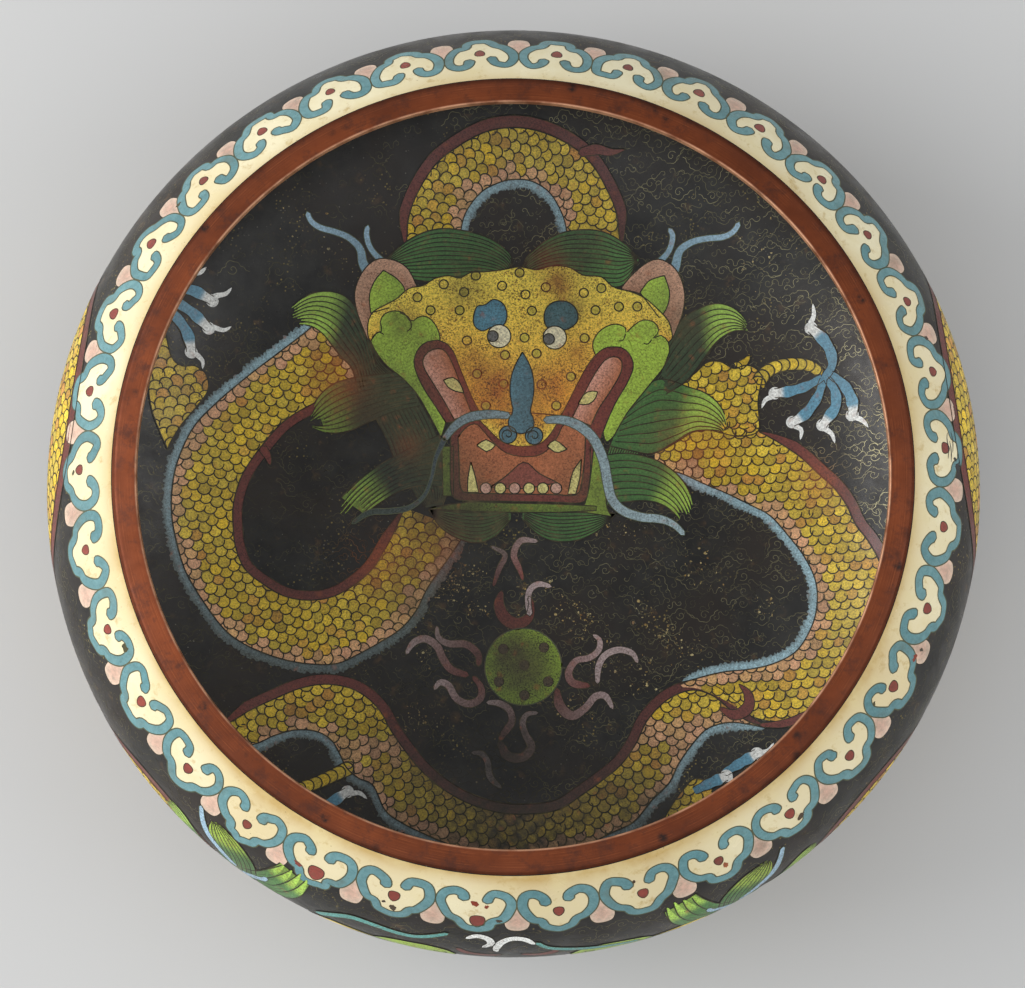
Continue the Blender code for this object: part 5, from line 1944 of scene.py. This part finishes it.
class MakeRings(bpy.types.Operator):
    """Makes the bare copper rings of the mouth and the foot"""

    bl_idname = "bowl.make_rings"
    bl_label = "Copper rings"

    def execute(self, context):
        copper = finish_of(aged_bare_copper)
        edge_outer, edge_inner = OUTER[0, :2], INNER[0, :2]
        across = (edge_outer - edge_inner) / WALL
        along = np.array([-across[1], across[0]])
        top_outer, bottom_outer = edge_outer + SOLDER_GAP * along, edge_inner + SOLDER_GAP * along
        top_inner = np.array([MOUTH_RADIUS, MOUTH_HEIGHT])
        bottom_inner = np.array([MOUTH_RADIUS, MOUTH_HEIGHT - RIM_THICKNESS])
        profile = np.concatenate(
            [
                rounded(bottom_inner, top_inner, top_outer, RIM_EDGE_RADIUS),
                np.linspace(top_inner, top_outer, 6)[2:],
                np.linspace(bottom_outer, bottom_inner, 6)[:4],
                rounded(bottom_outer, bottom_inner, top_inner, RIM_EDGE_RADIUS),
            ]
        )
        turned_piece("copper_mouth_ring", profile[::-1], True, copper, "bare_copper", "mouth_rim")
        reach = WIDEST_RADIUS - BASE_FLAT_RADIUS
        radii = np.linspace(FOOT_RADIUS - FOOT_WALL, FOOT_RADIUS, 5)
        rise = WIDEST_HEIGHT - BELLY_DEPTH * np.sqrt(1 - ((radii - BASE_FLAT_RADIUS) / reach) ** 2)
        top = np.stack([radii, rise - SOLDER_GAP], 1)
        low_outer, low_inner = (FOOT_RADIUS, 0.0), (FOOT_RADIUS - FOOT_WALL, 0.0)
        profile = np.concatenate(
            [
                top,
                rounded(top[-1], low_outer, low_inner, FOOT_EDGE_RADIUS),
                rounded(low_outer, low_inner, top[0], FOOT_EDGE_RADIUS * 0.4),
            ]
        )
        turned_piece("copper_foot_ring", profile[::-1], True, copper, "bare_copper", "foot_ring")
        return {"FINISHED"}


class MakeBorder(bpy.types.Operator):
    """Makes the shoulder's border of trefoil heads on cream"""

    bl_idname = "bowl.make_border"
    bl_label = "Border"

    def execute(self, context):
        cream, heads, lines = Inlay(on_outside), Inlay(on_outside), Inlay(on_outside)
        build_border(cream, heads, lines)
        cream.piece("border_cream_ground", finish_of(cream_ground_enamel), "enamelled_copper")
        heads.piece("border_heads", finish_of(border_cell_enamel), "enamelled_copper")
        lines.piece("border_wires", finish_of(cloison_wire), "bare_copper")
        return {"FINISHED"}


class MakeDragon(bpy.types.Operator):
    """Makes the dragon inside the bowl with its scales, fins, mane, head and claws"""

    bl_idname = "bowl.make_dragon"
    bl_label = "Dragon inside"

    def execute(self, context):
        discs, wires, bands, areas, lines = (Inlay(on_inside) for _ in range(5))
        build_inside_bodies(discs, wires, bands, lines)
        build_legs(discs, wires, bands, areas, lines)
        build_claws(areas, lines)
        build_mane(areas, lines)
        build_head(areas, lines)
        build_flames(bands, lines, FLAMES)
        build_pearl(bands, lines, PEARL_MIDDLE, PEARL_RADIUS, PEARL_SPOTS)
        # Pale chips on the black ground, partly polish and partly painted glints.
        build_flecks_and_glints(bands)
        enamel = finish_of(coloured_cell_enamel)
        discs.piece("dragon_scales", enamel, "enamelled_copper")
        wires.piece("dragon_scale_wires", finish_of(cloison_wire), "bare_copper")
        bands.piece("dragon_fins_and_flames", enamel, "enamelled_copper")
        areas.piece("dragon_head_and_mane", enamel, "enamelled_copper")
        lines.piece("dragon_wires", finish_of(cloison_wire), "bare_copper")
        return {"FINISHED"}


class MakeOutside(bpy.types.Operator):
    """Makes the two dragons on the outside"""

    bl_idname = "bowl.make_outside"
    bl_label = "Dragons outside"

    def execute(self, context):
        discs, wires, areas, lines = (Inlay(on_outside) for _ in range(4))
        build_outside(discs, wires, areas, lines)
        enamel = finish_of(coloured_cell_enamel)
        discs.piece("outside_scales", enamel, "enamelled_copper")
        wires.piece("outside_scale_wires", finish_of(cloison_wire), "bare_copper")
        areas.piece("outside_dragons", enamel, "enamelled_copper")
        lines.piece("outside_wires", finish_of(cloison_wire), "bare_copper")
        return {"FINISHED"}


class MakeScrolls(bpy.types.Operator):
    """Makes the fine scroll wires of the black ground, inside and out"""

    bl_idname = "bowl.make_scrolls"
    bl_label = "Scroll wires"

    def execute(self, context):
        look = context.scene.bowl_look
        spacing = look.scroll_spacing / MM
        colour = np.array(look.scroll_tint)
        wire = finish_of(scroll_wire)
        floor = Inlay(on_inside)
        side = FLOOR_REACH + 4
        middles = scroll_middles((-side, -side), (side, side), spacing, 11)
        middles = middles[np.hypot(*middles.T) < FLOOR_REACH]
        for body in BODIES.values():
            outline = loop(smooth(body["fin"], 1.3), smooth(body["band"], 1.3))
            within, _, gap = inside_and_edge(middles, outline)
            middles = middles[~within | (gap < 2.0)]
        worn = (middles[:, 0] < -20) & (middles[:, 1] > 60)
        middles = middles[~worn | (np.arange(len(middles)) % 3 == 0)]
        lay_scrolls(floor, middles, 12, colour, left=0.4)
        floor.piece("scroll_wires_inside", wire, "bare_copper")
        walls = [
            ("scroll_wires_inner_wall", on_inner_wall, 4, 62, 13),
            ("scroll_wires_outside", on_outside, 28, 131, 15),
        ]
        for name, place, top, bottom, seed in walls:
            inlay = Inlay(place)
            middles = scroll_middles((-HALF_WAY_ROUND, top), (HALF_WAY_ROUND, bottom), spacing, seed)
            lay_scrolls(inlay, middles, seed + 1, colour)
            inlay.piece(name, wire, "bare_copper")
        return {"FINISHED"}


# What the lights face, in metres.
BOWL_MIDDLE = (0, 0, 0.06)


def soft_box(name, place, target, width, height, power):
    """A large white area light that faces a target."""
    light = bpy.data.lights.new(name, "AREA")
    light.shape = "RECTANGLE"
    light.size, light.size_y = width, height
    light.energy = power * bpy.context.scene.bowl_stage.light_power
    thing = bpy.data.objects.new(name, light)
    bpy.context.scene.collection.objects.link(thing)
    thing.location = place
    thing.rotation_euler = (Vector(target) - Vector(place)).to_track_quat("-Z", "Y").to_euler()


def from_bowl(azimuth, elevation, distance):
    """A place at an azimuth from the right, an elevation and a distance from the bowl."""
    a, e = math.radians(azimuth), math.radians(elevation)
    out = distance * math.cos(e)
    return (out * math.cos(a), out * math.sin(a), BOWL_MIDDLE[2] + distance * math.sin(e))


class MakeStage(bpy.types.Operator):
    """Makes the camera, the pale floor and the soft lights"""

    bl_idname = "bowl.make_stage"
    bl_label = "Stage"

    def execute(self, context):
        stage = context.scene.bowl_stage
        tilt, turn = stage.camera_tilt, stage.camera_turn
        back = Vector((math.sin(turn), -math.sin(tilt) * math.cos(turn), math.cos(tilt) * math.cos(turn)))
        right = Vector((0, 1, 0)).cross(back).normalized()
        up = back.cross(right)
        aim = Vector((-0.1, -7.5, MOUTH_HEIGHT)) * MM
        camera = bpy.data.cameras.new("camera")
        camera.lens = stage.lens
        camera.sensor_width = 36.0
        camera.sensor_fit = "HORIZONTAL"
        viewer = bpy.data.objects.new("camera", camera)
        context.scene.collection.objects.link(viewer)
        turned = Matrix((right, up, back)).transposed().to_4x4()
        viewer.matrix_world = Matrix.Translation(aim + back * stage.camera_distance) @ turned
        context.scene.camera = viewer
        size = stage.floor_size / 2
        mesh = bpy.data.meshes.new("pale_floor")
        corners = [(-size, -size, 0), (size, -size, 0), (size, size, 0), (-size, size, 0)]
        mesh.from_pydata(corners, [], [(0, 1, 2, 3)])
        mesh.materials.append(finish_of(matte_paper))
        floor = bpy.data.objects.new("pale_floor", mesh)
        context.scene.collection.objects.link(floor)
        world = bpy.data.worlds.new("soft_room")
        world.use_nodes = True
        tree = world.node_tree
        tree.nodes["Background"].inputs["Color"].default_value = (0.94, 0.97, 1.0, 1.0)
        toward = add_node(tree, "ShaderNodeTexCoord").outputs["Generated"]
        split = add_node(tree, "ShaderNodeSeparateXYZ", Vector=toward)
        high = value_range(tree, split.outputs["Z"], 0.15, 0.75, 0.4, 1.05)
        high = times(tree, high, value_range(tree, split.outputs["Z"], 0.82, 0.97, 1.0, 0.6))
        behind = value_range(tree, split.outputs["Y"], -0.7, 0.7, 1.25, 0.68)
        beside = value_range(tree, split.outputs["X"], -0.8, 0.6, 1.3, 0.82)
        strength = times(tree, times(tree, high, behind), beside)
        tree.links.new(strength, tree.nodes["Background"].inputs["Strength"])
        context.scene.world = world
        soft_box("soft_box_right", from_bowl(-6, 30, 1.3), BOWL_MIDDLE, 0.9, 0.7, 5)
        soft_box("soft_box_left", from_bowl(176, 27, 1.3), BOWL_MIDDLE, 0.9, 0.7, 14)
        context.scene.view_settings.view_transform = "Standard"
        return {"FINISHED"}


OPERATORS = (MakeStage, MakeBody, MakeRings, MakeBorder, MakeDragon, MakeOutside, MakeScrolls)


class BowlPanel(bpy.types.Panel):
    """Lists the steps that build the bowl and its settings"""

    bl_idname = "VIEW3D_PT_cloisonne_bowl"
    bl_label = "Cloisonne Bowl"
    bl_space_type = "VIEW_3D"
    bl_region_type = "UI"
    bl_category = "Bowl"

    def draw(self, context):
        layout = self.layout
        for group in (context.scene.bowl_stage, context.scene.bowl_look):
            for key in group.__annotations__:
                layout.prop(group, key)
        for operator in OPERATORS:
            layout.operator(operator.bl_idname)


CLASSES = (BowlStage, BowlLook, *OPERATORS, BowlPanel)


def register():
    """Registers the classes and hangs the settings on the scene."""
    for item in CLASSES:
        bpy.utils.register_class(item)
    bpy.types.Scene.bowl_stage = PointerProperty(type=BowlStage)
    bpy.types.Scene.bowl_look = PointerProperty(type=BowlLook)


def unregister():
    """Takes the settings and the classes away again."""
    del bpy.types.Scene.bowl_look
    del bpy.types.Scene.bowl_stage
    for item in reversed(CLASSES):
        bpy.utils.unregister_class(item)


def check_sizes():
    """Stops if the sizes above don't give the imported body's box."""
    low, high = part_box("bowl_body")
    if abs(high[0] - WIDEST_RADIUS * MM) > 0.0005 or abs(low[2] - FOOT_RECESS * MM) > 0.0005:
        raise RuntimeError("the sizes don't fit the packed body")


def main():
    """Registers the add-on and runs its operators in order."""
    register()
    check_sizes()
    for operator in OPERATORS:
        group, name = operator.bl_idname.split(".")
        getattr(getattr(bpy.ops, group), name)()


if __name__ == "__main__":
    main()
